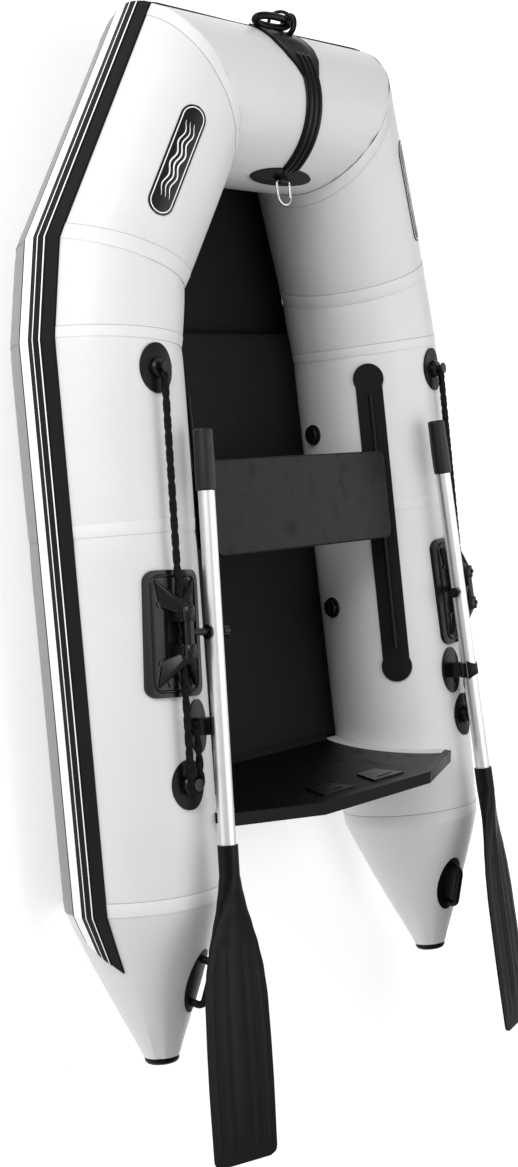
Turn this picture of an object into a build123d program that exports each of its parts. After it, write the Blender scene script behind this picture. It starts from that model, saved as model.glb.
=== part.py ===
"""Inflatable dinghy with stowed oars. Millimetres; +X to the bow, +Y to port, +Z up.
The origin is under the middle of the whole boat, on the surface that its tubes rest on."""
import os
from math import cos, radians, sin, tan

from build123d import *

os.makedirs("parts", exist_ok=True)
sides = {"port": 1, "starboard": -1}

# Hull tubes: the straight side tube tapers aft and toes out, and the bow rises.
tube_r = 180.0
tail_r = 167.6
skin_t = 1.2
glue_line = 0.15
shoulder_x, shoulder_y = 482.2, 512.0
stern_x, stern_y = -686.3, 531.0
bend_x, bend_y, bend_z = 648.7, 480.5, 187.0
bow_x, bow_y, bow_z = 1021.2, 286.0, 266.0
baffle_x, baffle_depth, baffle_tip_r = 87.7, 150.0, 40.0

# Tail cones: their axis rises towards the tip.
cone_length, tip_r, tip_y, tip_z = 321.5, 37.0, 539.5, 182.0
cap_length, cap_edge_r, plug_length = 15.0, 11.0, 10.0

# Rub strake, in degrees about each tube's axis from outboard horizontal.
strake_low, strake_high, strake_t = -19.6, 13.8, 5.0
rib_low, rib_high, rib_t = -6.8, 4.1, 3.0
strake_tail = 118.0

# Bottom skin, inflated deck and transom.
skin_z = 13.5
deck_gap, deck_t, deck_nose_x = 0.3, 40.0, 548.7
ramp_back, ramp_up = 20.0, 20.0
board_x, board_rake, board_t = -461.8, 10.0, 22.0
board_top_half, board_shoulder_half, board_top, board_shoulder = 215.0, 452.0, 387.0, 300.0
board_below = 34.0
trim_over, trim_side, trim_down = 4.0, 3.0, 14.0
pad_top_half, pad_low_half, pad_height, pad_t, pad_y, pad_drop = 62.0, 38.0, 65.0, 4.0, 102.0, 24.0
slot_length, slot_width, slot_drop = 60.0, 6.0, 14.0
outer_half, outer_height, outer_t, outer_drop = 200.0, 150.0, 9.0, 18.0
flange_band, flange_t = 38.0, 1.5
fillet_leg = 12.0
drain_y, drain_up, drain_r, drain_flange_r, drain_flange_t = 150.0, 48.0, 13.0, 24.0, 3.0
plug_fit, plug_head_r, plug_head_t = 0.05, 18.0, 8.0

# Seat and the keder rails that it slides on.
seat_x, seat_width, seat_half, seat_top, seat_t, seat_corner = 125.7, 209.0, 345.0, 316.0, 18.0, 22.0
rail_angle, bead_off, bead_r, web_t = 146.0, 20.5, 5.0, 3.6
rail_front_x, rail_back_x, rail_width, rail_t = 410.2, -289.8, 65.0, 3.0
rail_disc_r, rail_disc_t = 37.0, 2.2
channel_r, channel_wall, channel_slot = 11.0, 5.5, 4.6
hanger_plate_t, hanger_inner_y = 4.0, 296.0

# Rowlock: a hinge along the tube whose barrel carries the pin that the oar turns on.
lock_x, lock_y, lock_z, lock_tilt, toe_out = -121.8, 558.0, 386.0, 10.5, 3.93
barrel_r, barrel_length, lug_r, lug_length, hinge_r = 11.0, 46.0, 13.0, 30.0, 4.0
hinge_fit, lug_gap = 0.05, 0.4
base_length, base_width, base_t, base_corner = 260.0, 150.0, 7.0, 24.0
plateau_length, plateau_width, plateau_drop = 150.0, 62.0, 27.5
eye_width, eye_top = 24.0, 12.0
arm_r, collar_r, collar_t, oar_arm, pin_r, pin_fit = 7.5, 15.0, 4.5, 70.0, 6.0, 0.06
knob_r, knob_length, knob_end_t = 12.5, 15.0, 2.5

# Oars: distances along the shaft from the rowlock pin, forward positive.
shaft_r, shaft_wall, shaft_fit = 17.5, 1.5, 0.1
grip_front, grip_length, grip_wall = 418.0, 129.0, 3.5
joint_at, spigot_length = -27.0, 60.0
socket_at, socket_depth, socket_wall, socket_length = -438.0, 70.0, 4.0, 95.0
grip_r, socket_r = shaft_r + grip_wall, shaft_r + socket_wall
blade_length, blade_half, blade_t, blade_corner = 645.0, 88.0, 7.0, 16.0
blade_root_half, blade_root_at, blade_neck_at, blade_full_at = 24.0, 55.0, 126.0, 300.0
rib_half, rib_height, rib_length = 5.0, 5.0, 480.0

# Oar clips, ropes and their studs.
clip_at, clip_length, clip_wall, clip_gap = -193.0, 36.0, 4.5, 0.35
clip_base_length, clip_base_width, clip_base_t, clip_stem_t = 112.0, 66.0, 5.0, 12.0
stud_fore_x, stud_aft_x, stud_angle = 422.2, -432.8, 82.0
patch_length, patch_width, patch_t = 104.0, 86.0, 4.0
stud_r, stud_height, neck_r, neck_height, head_r, head_t = 21.0, 12.0, 8.0, 11.0, 13.0, 4.0
rope_r, rope_gap, rope_tail = 5.0, 0.3, 130.0

# Bow fittings, as degrees about the front tube from forward horizontal.
strip_low, strip_high, strip_width, strip_t = 60.3, 147.0, 54.0, 4.0
ridge_count, ridge_width, ridge_t = 3, 11.0, 4.0
nose_low, nose_high, nose_wide, nose_narrow, nose_t = 16.0, 60.0, 130.0, 46.0, 5.0
loop_angle, loop_half, loop_height, loop_r, loop_bend = 30.0, 48.0, 27.0, 8.0, 18.0
inner_angle, inner_wide, inner_high, inner_t = 157.0, 220.0, 62.0, 4.0
keeper_r, keeper_length, keeper_off = 7.0, 30.0, 8.0
ring_wire, ring_half, ring_reach, ring_fit, ring_rest = 3.0, 24.0, 52.0, 0.3, 180.0

# Valves, tail handles and the name patches.
valve_spots = {
    "bow": (-1, 291.2, 200.0),
    "starboard": (-1, -135.8, 200.0),
    "port": (1, -135.8, 200.0),
}
valve_flange_r, valve_flange_t, valve_neck_r, valve_bore_r, valve_depth = 25.0, 5.0, 14.5, 10.0, 28.0
valve_hole_fit, lid_r, lid_t, lid_plug_depth = 0.3, 21.0, 8.0, 9.0
handle_x, handle_angle, handle_length, handle_width, handle_base_t = -849.8, 103.0, 140.0, 76.0, 4.0
handle_half, handle_height, handle_bar_r = 48.0, 30.0, 8.0
badge_at, badge_angle, badge_length, badge_width, badge_t = 225.0, 61.0, 255.0, 60.0, 1.5


def axis_points(side):
    """Centreline corners of one side, from the cone seam forward to the bow corner."""
    return [
        Vector(stern_x, side * stern_y, tail_r),
        Vector(shoulder_x, side * shoulder_y, tube_r),
        Vector(bend_x, side * bend_y, bend_z),
        Vector(bow_x, side * bow_y, bow_z),
    ]


def side_axis(side):
    points = axis_points(side)
    return (points[1] - points[0]).normalized()


def station(x, side):
    """Centre and radius of the tapered side tube at x."""
    stern, shoulder = axis_points(side)[:2]
    share = (x - stern_x) / (shoulder_x - stern_x)
    return stern + (shoulder - stern) * share, tail_r + (tube_r - tail_r) * share


def outward(direction, side):
    """Level direction away from the boat's middle, square to a tube."""
    return Vector(-direction.Y * side, direction.X * side, 0).normalized()


def around(direction, side, angle):
    """Direction out of a tube at an angle over its outboard side."""
    level = outward(direction, side)
    upright = (direction * side).cross(level)
    return level * cos(radians(angle)) + upright * sin(radians(angle))


def on_tube(x, side, angle, height=0.0):
    centre, radius = station(x, side)
    return centre + around(side_axis(side), side, angle) * (radius + height)


def tube_plane(x, side, angle, height=0.0):
    """Plane on the side tube: local X runs forward and Z points out of the tube."""
    normal = around(side_axis(side), side, angle)
    return Plane(origin=on_tube(x, side, angle, height), x_dir=side_axis(side), z_dir=normal)


def cross_plane(point, direction, side=1):
    """Section plane of a tube: local X is outboard and Y is up."""
    return Plane(origin=point, x_dir=outward(direction, side), z_dir=direction * side)


def segments(side):
    """Each straight length of tube: its two ends and radii."""
    points = axis_points(side)
    middle, middle_r = station(baffle_x, side)
    return {
        "aft_side_tube": (points[0], middle, tail_r, middle_r),
        "fore_side_tube": (middle, points[1], middle_r, tube_r),
        "shoulder_tube": (points[1], points[2], tube_r, tube_r),
        "bow_side_tube": (points[2], points[3], tube_r, tube_r),
    }


def mitre(before, after):
    return (before + after).normalized()


def mitres(side):
    """Normals of the cut planes at the joints of one side, from the stern forward."""
    points = axis_points(side)
    runs = [(b - a).normalized() for a, b in zip(points, points[1:])]
    front = Vector(0, -side, 0)
    return [runs[0], runs[0], mitre(runs[0], runs[1]), mitre(runs[1], runs[2]), mitre(runs[2], front)]


def tube_solid(start, end, start_r, end_r, grow=0.0, reach=0.0):
    """Plain solid tube, its ends carried on by reach at the same taper."""
    run = end - start
    direction = run.normalized()
    slope = (end_r - start_r) / run.length
    with BuildPart() as solid:
        with BuildSketch(Plane(origin=start - direction * reach, z_dir=direction)):
            Circle(start_r - slope * reach + grow)
        with BuildSketch(Plane(origin=end + direction * reach, z_dir=direction)):
            Circle(end_r + slope * reach + grow)
        loft()
    return solid.part


def cone_solid(side, grow=0.0):
    """Oblique tail cone between parallel circles."""
    run = side_axis(side)
    seam = axis_points(side)[0] - run * glue_line
    with BuildPart() as solid:
        with BuildSketch(Plane(origin=seam, z_dir=run)):
            Circle(tail_r + grow)
        with BuildSketch(Plane(origin=cone_tip(side), z_dir=run)):
            Circle(tip_r + grow)
        loft()
    return solid.part


def cone_tip(side):
    return Vector(stern_x - cone_length, side * tip_y, tip_z)


def cone_station(x, side):
    seam = axis_points(side)[0]
    share = (stern_x - x) / cone_length
    return seam + (cone_tip(side) - seam) * share, tail_r + (tip_r - tail_r) * share


def hull_solids(grow):
    """All tubes as plain solids, for cutting what lies between them."""
    solids = [tube_solid(bow_corner(1), bow_corner(-1), tube_r, tube_r, grow, bow_reach)]
    for side in sides.values():
        for start, end, start_r, end_r in segments(side).values():
            solids.append(tube_solid(start, end, start_r, end_r, grow, bow_reach))
        solids.append(cone_solid(side, grow))
    return solids


def bow_corner(side):
    return axis_points(side)[3]


bow_reach = 0.25 * tube_r
mitre_reach = 0.7 * tube_r
made = {}


def finish(name, part):
    """Label a finished piece and write it."""
    part.label = name
    export_step(part, f"parts/{name}.step")
    made[name] = part


def skin_panel(name, ends, normals, hole_plane=None):
    """One glued panel of tube between its two mitre planes."""
    start, end, start_r, end_r = ends
    outer = tube_solid(start, end, start_r, end_r, reach=tube_r)
    inner = tube_solid(start, end, start_r, end_r, grow=-skin_t, reach=tube_r + 1)
    with BuildPart() as panel:
        add(outer)
        add(inner, mode=Mode.SUBTRACT)
        split(bisect_by=Plane(origin=start + normals[0] * glue_line / 2, z_dir=normals[0]), keep=Keep.TOP)
        split(bisect_by=Plane(origin=end - normals[1] * glue_line / 2, z_dir=normals[1]), keep=Keep.BOTTOM)
        if hole_plane:
            with BuildSketch(hole_plane):
                Circle(valve_neck_r + valve_hole_fit)
            extrude(amount=valve_depth, both=True, mode=Mode.SUBTRACT)
    finish(name, panel.part)


valve_panels = {(-1, "fore_side_tube"): "bow", (-1, "aft_side_tube"): "starboard", (1, "aft_side_tube"): "port"}
for word, side in sides.items():
    cuts = mitres(side)
    for index, (label, ends) in enumerate(segments(side).items()):
        valve = valve_panels.get((side, label))
        hole = tube_plane(valve_spots[valve][1], side, valve_spots[valve][2]) if valve else None
        skin_panel(f"{label}_{word}", ends, (cuts[index], cuts[index + 1]), hole)

front_ends = (bow_corner(1), bow_corner(-1), tube_r, tube_r)
front_normals = []
for side in (1, -1):
    normal = mitres(side)[4]
    front_normals.append(normal if side == 1 else normal * -1)
skin_panel("bow_tube", front_ends, front_normals)

for word, side in sides.items():
    shell = cone_solid(side)
    hollow = cone_solid(side, -skin_t)
    with BuildPart() as cone:
        add(shell)
        add(hollow, mode=Mode.SUBTRACT)
    finish(f"tail_cone_{word}", cone.part)

with BuildPart() as caps:
    for side in sides.values():
        run = side_axis(side)
        with BuildSketch(Plane(origin=cone_tip(side) - run * glue_line, z_dir=run * -1)):
            Circle(tip_r)
        extrude(amount=cap_length)
        with BuildSketch(Plane(origin=cone_tip(side) - run * glue_line, z_dir=run)):
            Circle(tip_r - skin_t - 2 * glue_line)
        extrude(amount=plug_length)
    ends = caps.edges().filter_by(GeomType.CIRCLE).sort_by(Axis.X)
    fillet(ends[:2], cap_edge_r)
finish("tail_caps", caps.part)

with BuildPart() as baffles:
    for side in sides.values():
        centre, radius = station(baffle_x, side)
        run = side_axis(side)
        for wall, mode in ((0.0, Mode.ADD), (skin_t, Mode.SUBTRACT)):
            with BuildSketch(Plane(origin=centre, z_dir=run)):
                Circle(radius - skin_t - 5 * glue_line - wall)
            with BuildSketch(Plane(origin=centre - run * (baffle_depth - wall), z_dir=run)):
                Circle(baffle_tip_r - wall)
            loft(mode=mode)
finish("chamber_baffles", baffles.part)


def band_face(plane, inner_r, outer_r, low, high):
    """Piece of a ring between two radii and two angles."""
    with BuildSketch(plane) as face:
        with BuildLine():
            inside = CenterArc((0, 0), inner_r, low, high - low)
            outside = CenterArc((0, 0), outer_r, low, high - low)
            Line(inside @ 0, outside @ 0)
            Line(inside @ 1, outside @ 1)
        make_face()
    return face.sketch


def band_solid(start, end, start_r, end_r, side, layer, low, high, reach):
    """Band that follows a tube between two section planes; layer is its two heights."""
    run = end - start
    direction = run.normalized()
    slope = (end_r - start_r) / run.length
    first = cross_plane(start - direction * reach, direction, side)
    last = cross_plane(end + direction * reach, direction, side)
    near = start_r - slope * reach
    far = end_r + slope * reach
    with BuildPart() as solid:
        loft([
            band_face(first, near + layer[0], near + layer[1], low, high),
            band_face(last, far + layer[0], far + layer[1], low, high),
        ])
    return solid.part


def cut_between(solid, low_point, low_normal, high_point, high_normal):
    with BuildPart() as cut:
        add(solid)
        split(bisect_by=Plane(origin=low_point, z_dir=low_normal), keep=Keep.TOP)
        split(bisect_by=Plane(origin=high_point, z_dir=high_normal), keep=Keep.BOTTOM)
    return cut.part


def strake_layer(side, layer, low, high):
    """One layer of the belt along a whole side, as mitred lengths."""
    points = axis_points(side)
    cuts = mitres(side)
    runs = [(points[0], points[1], tail_r, tube_r, cuts[0], cuts[2])]
    runs.append((points[1], points[2], tube_r, tube_r, cuts[2], cuts[3]))
    runs.append((points[2], points[3], tube_r, tube_r, cuts[3], cuts[4]))
    middle = Vector(bow_x, side * glue_line / 2, bow_z)
    runs.append((points[3], middle, tube_r, tube_r, cuts[4], Vector(0, -side, 0)))
    lengths = []
    for start, end, start_r, end_r, first, last in runs:
        body = band_solid(start, end, start_r, end_r, side, layer, low, high, mitre_reach)
        lengths.append(cut_between(body, start, first, end, last))
    end_centre, end_r = cone_station(stern_x - strake_tail, side)
    run = side_axis(side)
    with BuildPart() as tail:
        loft([
            band_face(cross_plane(points[0], run, side), tail_r + layer[0], tail_r + layer[1], low, high),
            band_face(cross_plane(end_centre, run, side), end_r + layer[0], end_r + layer[1], low, high),
        ])
    slant = Plane(origin=end_centre + run * 22, z_dir=Vector(1, 0, -0.75).normalized())
    with BuildPart() as cut_tail:
        add(tail.part)
        split(bisect_by=slant, keep=Keep.TOP)
    lengths.append(cut_tail.part)
    return lengths


for word, side in sides.items():
    layers = strake_layer(side, (glue_line, strake_t), strake_low, strake_high)
    layers += strake_layer(side, (strake_t - 1, strake_t + rib_t), rib_low, rib_high)
    with BuildPart() as strake:
        for length in layers:
            add(length)
    finish(f"rub_strake_{word}", strake.part)


def plan_face():
    """Plan outline through the tubes' centrelines."""
    with BuildSketch() as plan:
        with BuildLine():
            port = axis_points(1)
            starboard = axis_points(-1)
            corners = [(p.X, p.Y) for p in port] + [(p.X, p.Y) for p in reversed(starboard)]
            Polyline(*corners, close=True)
        make_face()
    return plan.sketch


board_slope = radians(board_rake)
board_plane = Plane(
    origin=(board_x, 0, skin_z + skin_t + deck_gap + deck_t),
    x_dir=(0, 1, 0),
    z_dir=(cos(board_slope), 0, sin(board_slope)),
)
clear_hull = hull_solids(0.3)
board_back_x = board_x - board_t * cos(board_slope) + board_below * sin(board_slope)

with BuildPart() as bottom:
    with BuildSketch(Plane.XZ.offset(-tube_r * 3)):
        with BuildLine():
            ramp_end = (bow_x - ramp_back, bow_z - tube_r + ramp_up)
            lower = [(board_back_x, skin_z), (deck_nose_x, skin_z), ramp_end]
            upper = [(x, z + skin_t) for x, z in reversed(lower)]
            Polyline(*lower, *upper, close=True)
        make_face()
    extrude(amount=tube_r * 6)
    extrude(plan_face(), amount=2 * tube_r, mode=Mode.INTERSECT)
    for tube in clear_hull:
        add(tube, mode=Mode.SUBTRACT)
finish("bottom_skin", bottom.part)

with BuildPart() as deck:
    with BuildSketch(Plane.XY.offset(skin_z + skin_t + deck_gap)):
        with Locations((deck_nose_x, 0)):
            Rectangle(deck_nose_x - board_x + deck_t, 2 * stern_y, align=(Align.MAX, Align.CENTER))
    extrude(amount=deck_t)
    extrude(plan_face(), amount=2 * tube_r, mode=Mode.INTERSECT)
    split(bisect_by=board_plane.offset(deck_gap), keep=Keep.TOP)
    for tube in clear_hull:
        add(tube, mode=Mode.SUBTRACT)
finish("floor_deck", deck.part)


def board_outline(rise=0.0):
    """Upper edge of the board, from starboard shoulder to port shoulder."""
    return [
        (-board_shoulder_half, board_shoulder + rise),
        (-board_top_half, board_top + rise),
        (board_top_half, board_top + rise),
        (board_shoulder_half, board_shoulder + rise),
    ]


def board_face(plane, rise=0.0, foot_at=-board_below):
    with BuildSketch(plane) as face:
        with BuildLine():
            foot = [(board_shoulder_half, foot_at), (-board_shoulder_half, foot_at)]
            Polyline(*board_outline(rise), *foot, close=True)
        make_face()
    return face.sketch


with BuildPart() as board:
    extrude(board_face(board_plane), amount=-board_t)
    for tube in clear_hull:
        add(tube, mode=Mode.SUBTRACT)
    with BuildSketch(board_plane):
        with Locations((drain_y, drain_up)):
            Circle(drain_r + glue_line)
    extrude(amount=-board_t, mode=Mode.SUBTRACT)
finish("transom_board", board.part)

trim_slack = 0.15
with BuildPart() as trim:
    with BuildSketch(board_plane.offset(trim_side)):
        with BuildLine():
            Polyline(*board_outline(trim_over), *reversed(board_outline(-trim_down)), close=True)
        make_face()
    extrude(amount=-board_t - 2 * trim_side)
    with BuildSketch(board_plane.offset(trim_slack)):
        with BuildLine():
            wide = [(board_shoulder_half + 9, board_shoulder - 3.3), (board_shoulder_half + 9, 0)]
            wide += [(-board_shoulder_half - 9, 0), (-board_shoulder_half - 9, board_shoulder - 3.3)]
            Polyline(*board_outline(trim_slack), *wide, close=True)
        make_face()
    extrude(amount=-board_t - 2 * trim_slack, mode=Mode.SUBTRACT)
    for tube in clear_hull:
        add(tube, mode=Mode.SUBTRACT)
finish("transom_trim", trim.part)

pad_rise = board_top - trim_down - pad_drop
with BuildPart() as inner_pads:
    with BuildSketch(board_plane.offset(glue_line)):
        for middle in (-pad_y, pad_y):
            with BuildLine():
                pad_foot = pad_rise - pad_height
                top = [(middle - pad_top_half, pad_rise), (middle + pad_top_half, pad_rise)]
                low = [(middle + pad_low_half, pad_foot), (middle - pad_low_half, pad_foot)]
                Polyline(*top, *low, close=True)
            make_face()
    extrude(amount=pad_t)
    with BuildSketch(board_plane.offset(glue_line + pad_t)):
        with Locations((-pad_y, pad_rise - slot_drop), (pad_y, pad_rise - slot_drop)):
            SlotOverall(slot_length, slot_width)
    extrude(amount=-pad_t / 2, mode=Mode.SUBTRACT)
finish("clamp_pads_inner", inner_pads.part)

outer_top = board_top - trim_down - outer_drop
with BuildPart() as outer_pad:
    with BuildSketch(board_plane.offset(-board_t - glue_line)):
        with Locations((0, outer_top - outer_height / 2)):
            RectangleRounded(2 * outer_half, outer_height, slot_drop)
    extrude(amount=-outer_t)
finish("clamp_pad_outer", outer_pad.part)

def board_flange(side):
    """Glued band along the board's front face beside one tube."""
    with BuildPart() as flange:
        extrude(board_face(board_plane.offset(glue_line), -trim_down - deck_gap, deck_gap), amount=flange_t)
        add(tube_solid(*segments(side)["aft_side_tube"], grow=flange_band), mode=Mode.INTERSECT)
        for tube in clear_hull:
            add(tube, mode=Mode.SUBTRACT)
    return flange.part


with BuildPart() as flanges:
    for side in sides.values():
        add(board_flange(side))
finish("transom_flanges", flanges.part)


with BuildPart() as strip:
    with BuildSketch(Plane.XZ.offset(-stern_y)):
        with BuildLine():
            heel = board_plane.from_local_coords((0, deck_gap, glue_line))
            tall = board_plane.from_local_coords((0, fillet_leg, glue_line))
            Polyline((heel.X, heel.Z), (heel.X + fillet_leg, heel.Z), (tall.X, tall.Z), close=True)
        make_face()
    extrude(amount=2 * stern_y)
    extrude(plan_face(), amount=2 * tube_r, mode=Mode.INTERSECT)
    for tube in hull_solids(flange_band + deck_gap):
        add(tube, mode=Mode.SUBTRACT)
finish("floor_fillet", strip.part)

with BuildPart() as socket:
    with BuildSketch(board_plane.offset(drain_flange_t + glue_line)):
        with Locations((drain_y, drain_up)):
            Circle(drain_flange_r)
    extrude(amount=-drain_flange_t)
    with BuildSketch(board_plane.offset(-board_t - glue_line)):
        with Locations((drain_y, drain_up)):
            Circle(drain_flange_r)
    extrude(amount=-drain_flange_t)
    with BuildSketch(board_plane.offset(drain_flange_t)):
        with Locations((drain_y, drain_up)):
            Circle(drain_r)
    extrude(amount=-board_t - 2 * drain_flange_t)
    with BuildSketch(board_plane.offset(2 * drain_flange_t)):
        with Locations((drain_y, drain_up)):
            Circle(drain_r - drain_flange_t)
    extrude(amount=-board_t - 4 * drain_flange_t, mode=Mode.SUBTRACT)
finish("drain_socket", socket.part)

with BuildPart() as stopper:
    back = board_plane.offset(-board_t - drain_flange_t - glue_line - deck_gap)
    with BuildSketch(back):
        with Locations((drain_y, drain_up)):
            Circle(plug_head_r)
    extrude(amount=-plug_head_t)
    with BuildSketch(back):
        with Locations((drain_y, drain_up)):
            Circle(drain_r - drain_flange_t - plug_fit)
    extrude(amount=board_t)
finish("drain_plug", stopper.part)


def bead_centre(side):
    centre, radius = station(seat_x, side)
    return centre + around(Vector(1, 0, 0), side, rail_angle) * (radius + bead_off)


def bead_plane(side, x):
    """Section of a seat rail's bead: local X points away from the tube."""
    centre = bead_centre(side)
    away = around(Vector(1, 0, 0), side, rail_angle)
    return Plane(origin=(x, centre.Y, centre.Z), x_dir=away, z_dir=(1, 0, 0))


with BuildPart() as seat:
    with BuildSketch(Plane.XY.offset(seat_top - seat_t)):
        with Locations((seat_x, 0)):
            RectangleRounded(seat_width, 2 * seat_half, seat_corner)
    extrude(amount=seat_t)
    fillet(seat.faces().sort_by(Axis.Z)[-1].edges(), seat_t / 4)
finish("seat_board", seat.part)

def seat_hanger(side):
    """Plate under one end of the seat with the channel that runs on the bead."""
    back_x = seat_x - seat_width / 2 + seat_corner
    plate_width = abs(bead_centre(side).Y) - hanger_inner_y
    with BuildPart() as hanger:
        with BuildSketch(Plane(origin=(back_x, 0, 0), x_dir=(0, 1, 0), z_dir=(1, 0, 0))):
            with Locations((side * (hanger_inner_y + plate_width / 2), seat_top - seat_t - glue_line)):
                Rectangle(plate_width, hanger_plate_t, align=(Align.CENTER, Align.MAX))
        with BuildSketch(bead_plane(side, back_x)):
            Circle(channel_r)
        extrude(amount=seat_width - 2 * seat_corner)
        with BuildSketch(bead_plane(side, back_x)):
            Circle(channel_r - channel_wall)
            Rectangle(2 * channel_r, channel_slot, align=(Align.MAX, Align.CENTER))
        extrude(amount=seat_width - 2 * seat_corner, mode=Mode.SUBTRACT)
        split(bisect_by=Plane.XY.offset(seat_top - seat_t - glue_line), keep=Keep.BOTTOM)
    return hanger.part


with BuildPart() as hangers:
    for side in sides.values():
        add(seat_hanger(side))
finish("seat_hangers", hangers.part)

def tube_below(side, grow):
    stern, shoulder = axis_points(side)[:2]
    return tube_solid(stern, shoulder, tail_r, tube_r, grow=grow)


def seat_rail(side):
    """Tape glued along the tube with its web and round bead."""
    length = rail_front_x - rail_back_x
    middle = (rail_front_x + rail_back_x) / 2
    bead_end = rail_disc_r + bead_r
    with BuildPart() as rail:
        with BuildSketch(tube_plane(middle, side, rail_angle, -tube_r / 2)):
            Rectangle(length, rail_width)
        extrude(amount=tube_r)
        add(tube_below(side, glue_line + rail_t), mode=Mode.INTERSECT)
        with BuildSketch(bead_plane(side, rail_back_x + bead_end)):
            Circle(bead_r)
            Rectangle(3 * bead_off, web_t, align=(Align.MAX, Align.CENTER))
        extrude(amount=length - 2 * bead_end)
        add(tube_below(side, glue_line), mode=Mode.SUBTRACT)
    return rail.part


with BuildPart() as rails:
    for side in sides.values():
        add(seat_rail(side))
finish("seat_rails", rails.part)


def tube_patch(side, plane, sketch_of, thickness, cone=False, start=0.0):
    """Thin patch that follows the side tube or the cone under the outline that sketch_of draws."""
    below = cone_solid if cone else tube_below
    inner = below(side, glue_line + start)
    outer = below(side, glue_line + start + thickness)
    with BuildPart() as patch:
        with BuildSketch(plane.offset(-tail_r / 2)):
            sketch_of()
        extrude(amount=tail_r)
        add(outer, mode=Mode.INTERSECT)
        add(inner, mode=Mode.SUBTRACT)
    return patch.part


with BuildPart() as discs:
    for side in sides.values():
        for x in (rail_front_x, rail_back_x):
            plane = tube_plane(x, side, rail_angle)
            disc = tube_patch(side, plane, lambda: Circle(rail_disc_r), rail_disc_t, start=rail_t + glue_line)
            add(disc)
finish("rail_end_discs", discs.part)


def lock_frame(side):
    """Barrel centre, forward direction, pin direction and the direction off the tube."""
    toe = radians(toe_out)
    tilt = radians(lock_tilt)
    forward = Vector(cos(toe), -side * sin(toe), 0)
    inboard = Vector(-sin(toe), -side * cos(toe), 0)
    pin = inboard * cos(tilt) + Vector(0, 0, sin(tilt))
    off = inboard * -sin(tilt) + Vector(0, 0, cos(tilt))
    return Vector(lock_x, side * lock_y, lock_z), forward, pin, off


for word, side in sides.items():
    centre, forward, pin, off = lock_frame(side)
    base_plane = Plane(origin=centre, x_dir=forward, z_dir=off)
    with BuildPart() as lock:
        with BuildSketch(base_plane.offset(-tail_r)):
            RectangleRounded(base_length, base_width, base_corner)
        extrude(amount=tail_r)
        add(tube_below(side, glue_line + base_t), mode=Mode.INTERSECT)
        with BuildSketch(base_plane.offset(-tail_r / 2)):
            RectangleRounded(plateau_length, plateau_width, base_t)
        extrude(amount=tail_r / 2 - plateau_drop)
        for start in (barrel_length / 2 + lug_gap, -barrel_length / 2 - lug_gap - lug_length):
            with BuildSketch(Plane(origin=centre + forward * start, x_dir=off, z_dir=forward)):
                Circle(lug_r)
                Rectangle(plateau_drop + 2, 2 * lug_r + eye_width / 2, align=(Align.MAX, Align.CENTER))
            extrude(amount=lug_length)
        with BuildSketch(Plane(origin=centre - forward * base_length / 2, x_dir=off, z_dir=forward)):
            Circle(hinge_r)
            with Locations((-eye_top, 0)):
                Rectangle(plateau_drop - eye_top, eye_width, align=(Align.MAX, Align.CENTER))
        extrude(amount=base_length, mode=Mode.SUBTRACT)
        add(tube_below(side, glue_line), mode=Mode.SUBTRACT)
    finish(f"rowlock_base_{word}", lock.part)

with BuildPart() as hinge_pins:
    for side in sides.values():
        centre, forward, pin, off = lock_frame(side)
        half = barrel_length / 2 + lug_gap + lug_length
        with BuildSketch(Plane(origin=centre - forward * half, z_dir=forward)):
            Circle(hinge_r - 0.02)
        extrude(amount=2 * half)
finish("rowlock_hinge_pins", hinge_pins.part)

for word, side in sides.items():
    centre, forward, pin, off = lock_frame(side)
    shaft_face = oar_arm - shaft_r - deck_gap
    pin_end = oar_arm + shaft_r + knob_length - knob_end_t - deck_gap
    arm_plane = Plane(origin=centre, x_dir=forward, z_dir=pin)
    with BuildPart() as swivel:
        with BuildSketch(Plane(origin=centre - forward * barrel_length / 2, z_dir=forward)):
            Circle(barrel_r)
        extrude(amount=barrel_length)
        with BuildSketch(arm_plane):
            Circle(arm_r)
        extrude(amount=shaft_face)
        with BuildSketch(arm_plane.offset(shaft_face - collar_t)):
            Circle(collar_r)
        extrude(amount=collar_t)
        with BuildSketch(arm_plane):
            Circle(pin_r)
        extrude(amount=pin_end)
        with BuildSketch(Plane(origin=centre - forward * barrel_length, z_dir=forward)):
            Circle(hinge_r + hinge_fit)
        extrude(amount=2 * barrel_length, mode=Mode.SUBTRACT)
    finish(f"rowlock_swivel_{word}", swivel.part)

    with BuildPart() as knob:
        with BuildSketch(arm_plane.offset(oar_arm + shaft_r + deck_gap)):
            Circle(knob_r)
            with PolarLocations(knob_r + 1.5, 6):
                Circle(3, mode=Mode.SUBTRACT)
        extrude(amount=knob_length)
        with BuildSketch(arm_plane.offset(oar_arm)):
            Circle(pin_r + pin_fit)
        extrude(amount=pin_end + 2 * deck_gap - oar_arm, mode=Mode.SUBTRACT)
    finish(f"oar_knob_{word}", knob.part)


def oar_plane(side, at):
    """Section of the oar at a distance along it: local X follows the pin."""
    centre, forward, pin, off = lock_frame(side)
    return Plane(origin=centre + pin * oar_arm + forward * at, x_dir=pin, z_dir=forward)


def shaft_piece(side, front, back):
    """Hollow shaft between two distances, drilled for the pin where it passes."""
    with BuildPart() as piece:
        with BuildSketch(oar_plane(side, back)):
            Circle(shaft_r)
            Circle(shaft_r - shaft_wall, mode=Mode.SUBTRACT)
        extrude(amount=front - back)
    return piece.part


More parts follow.
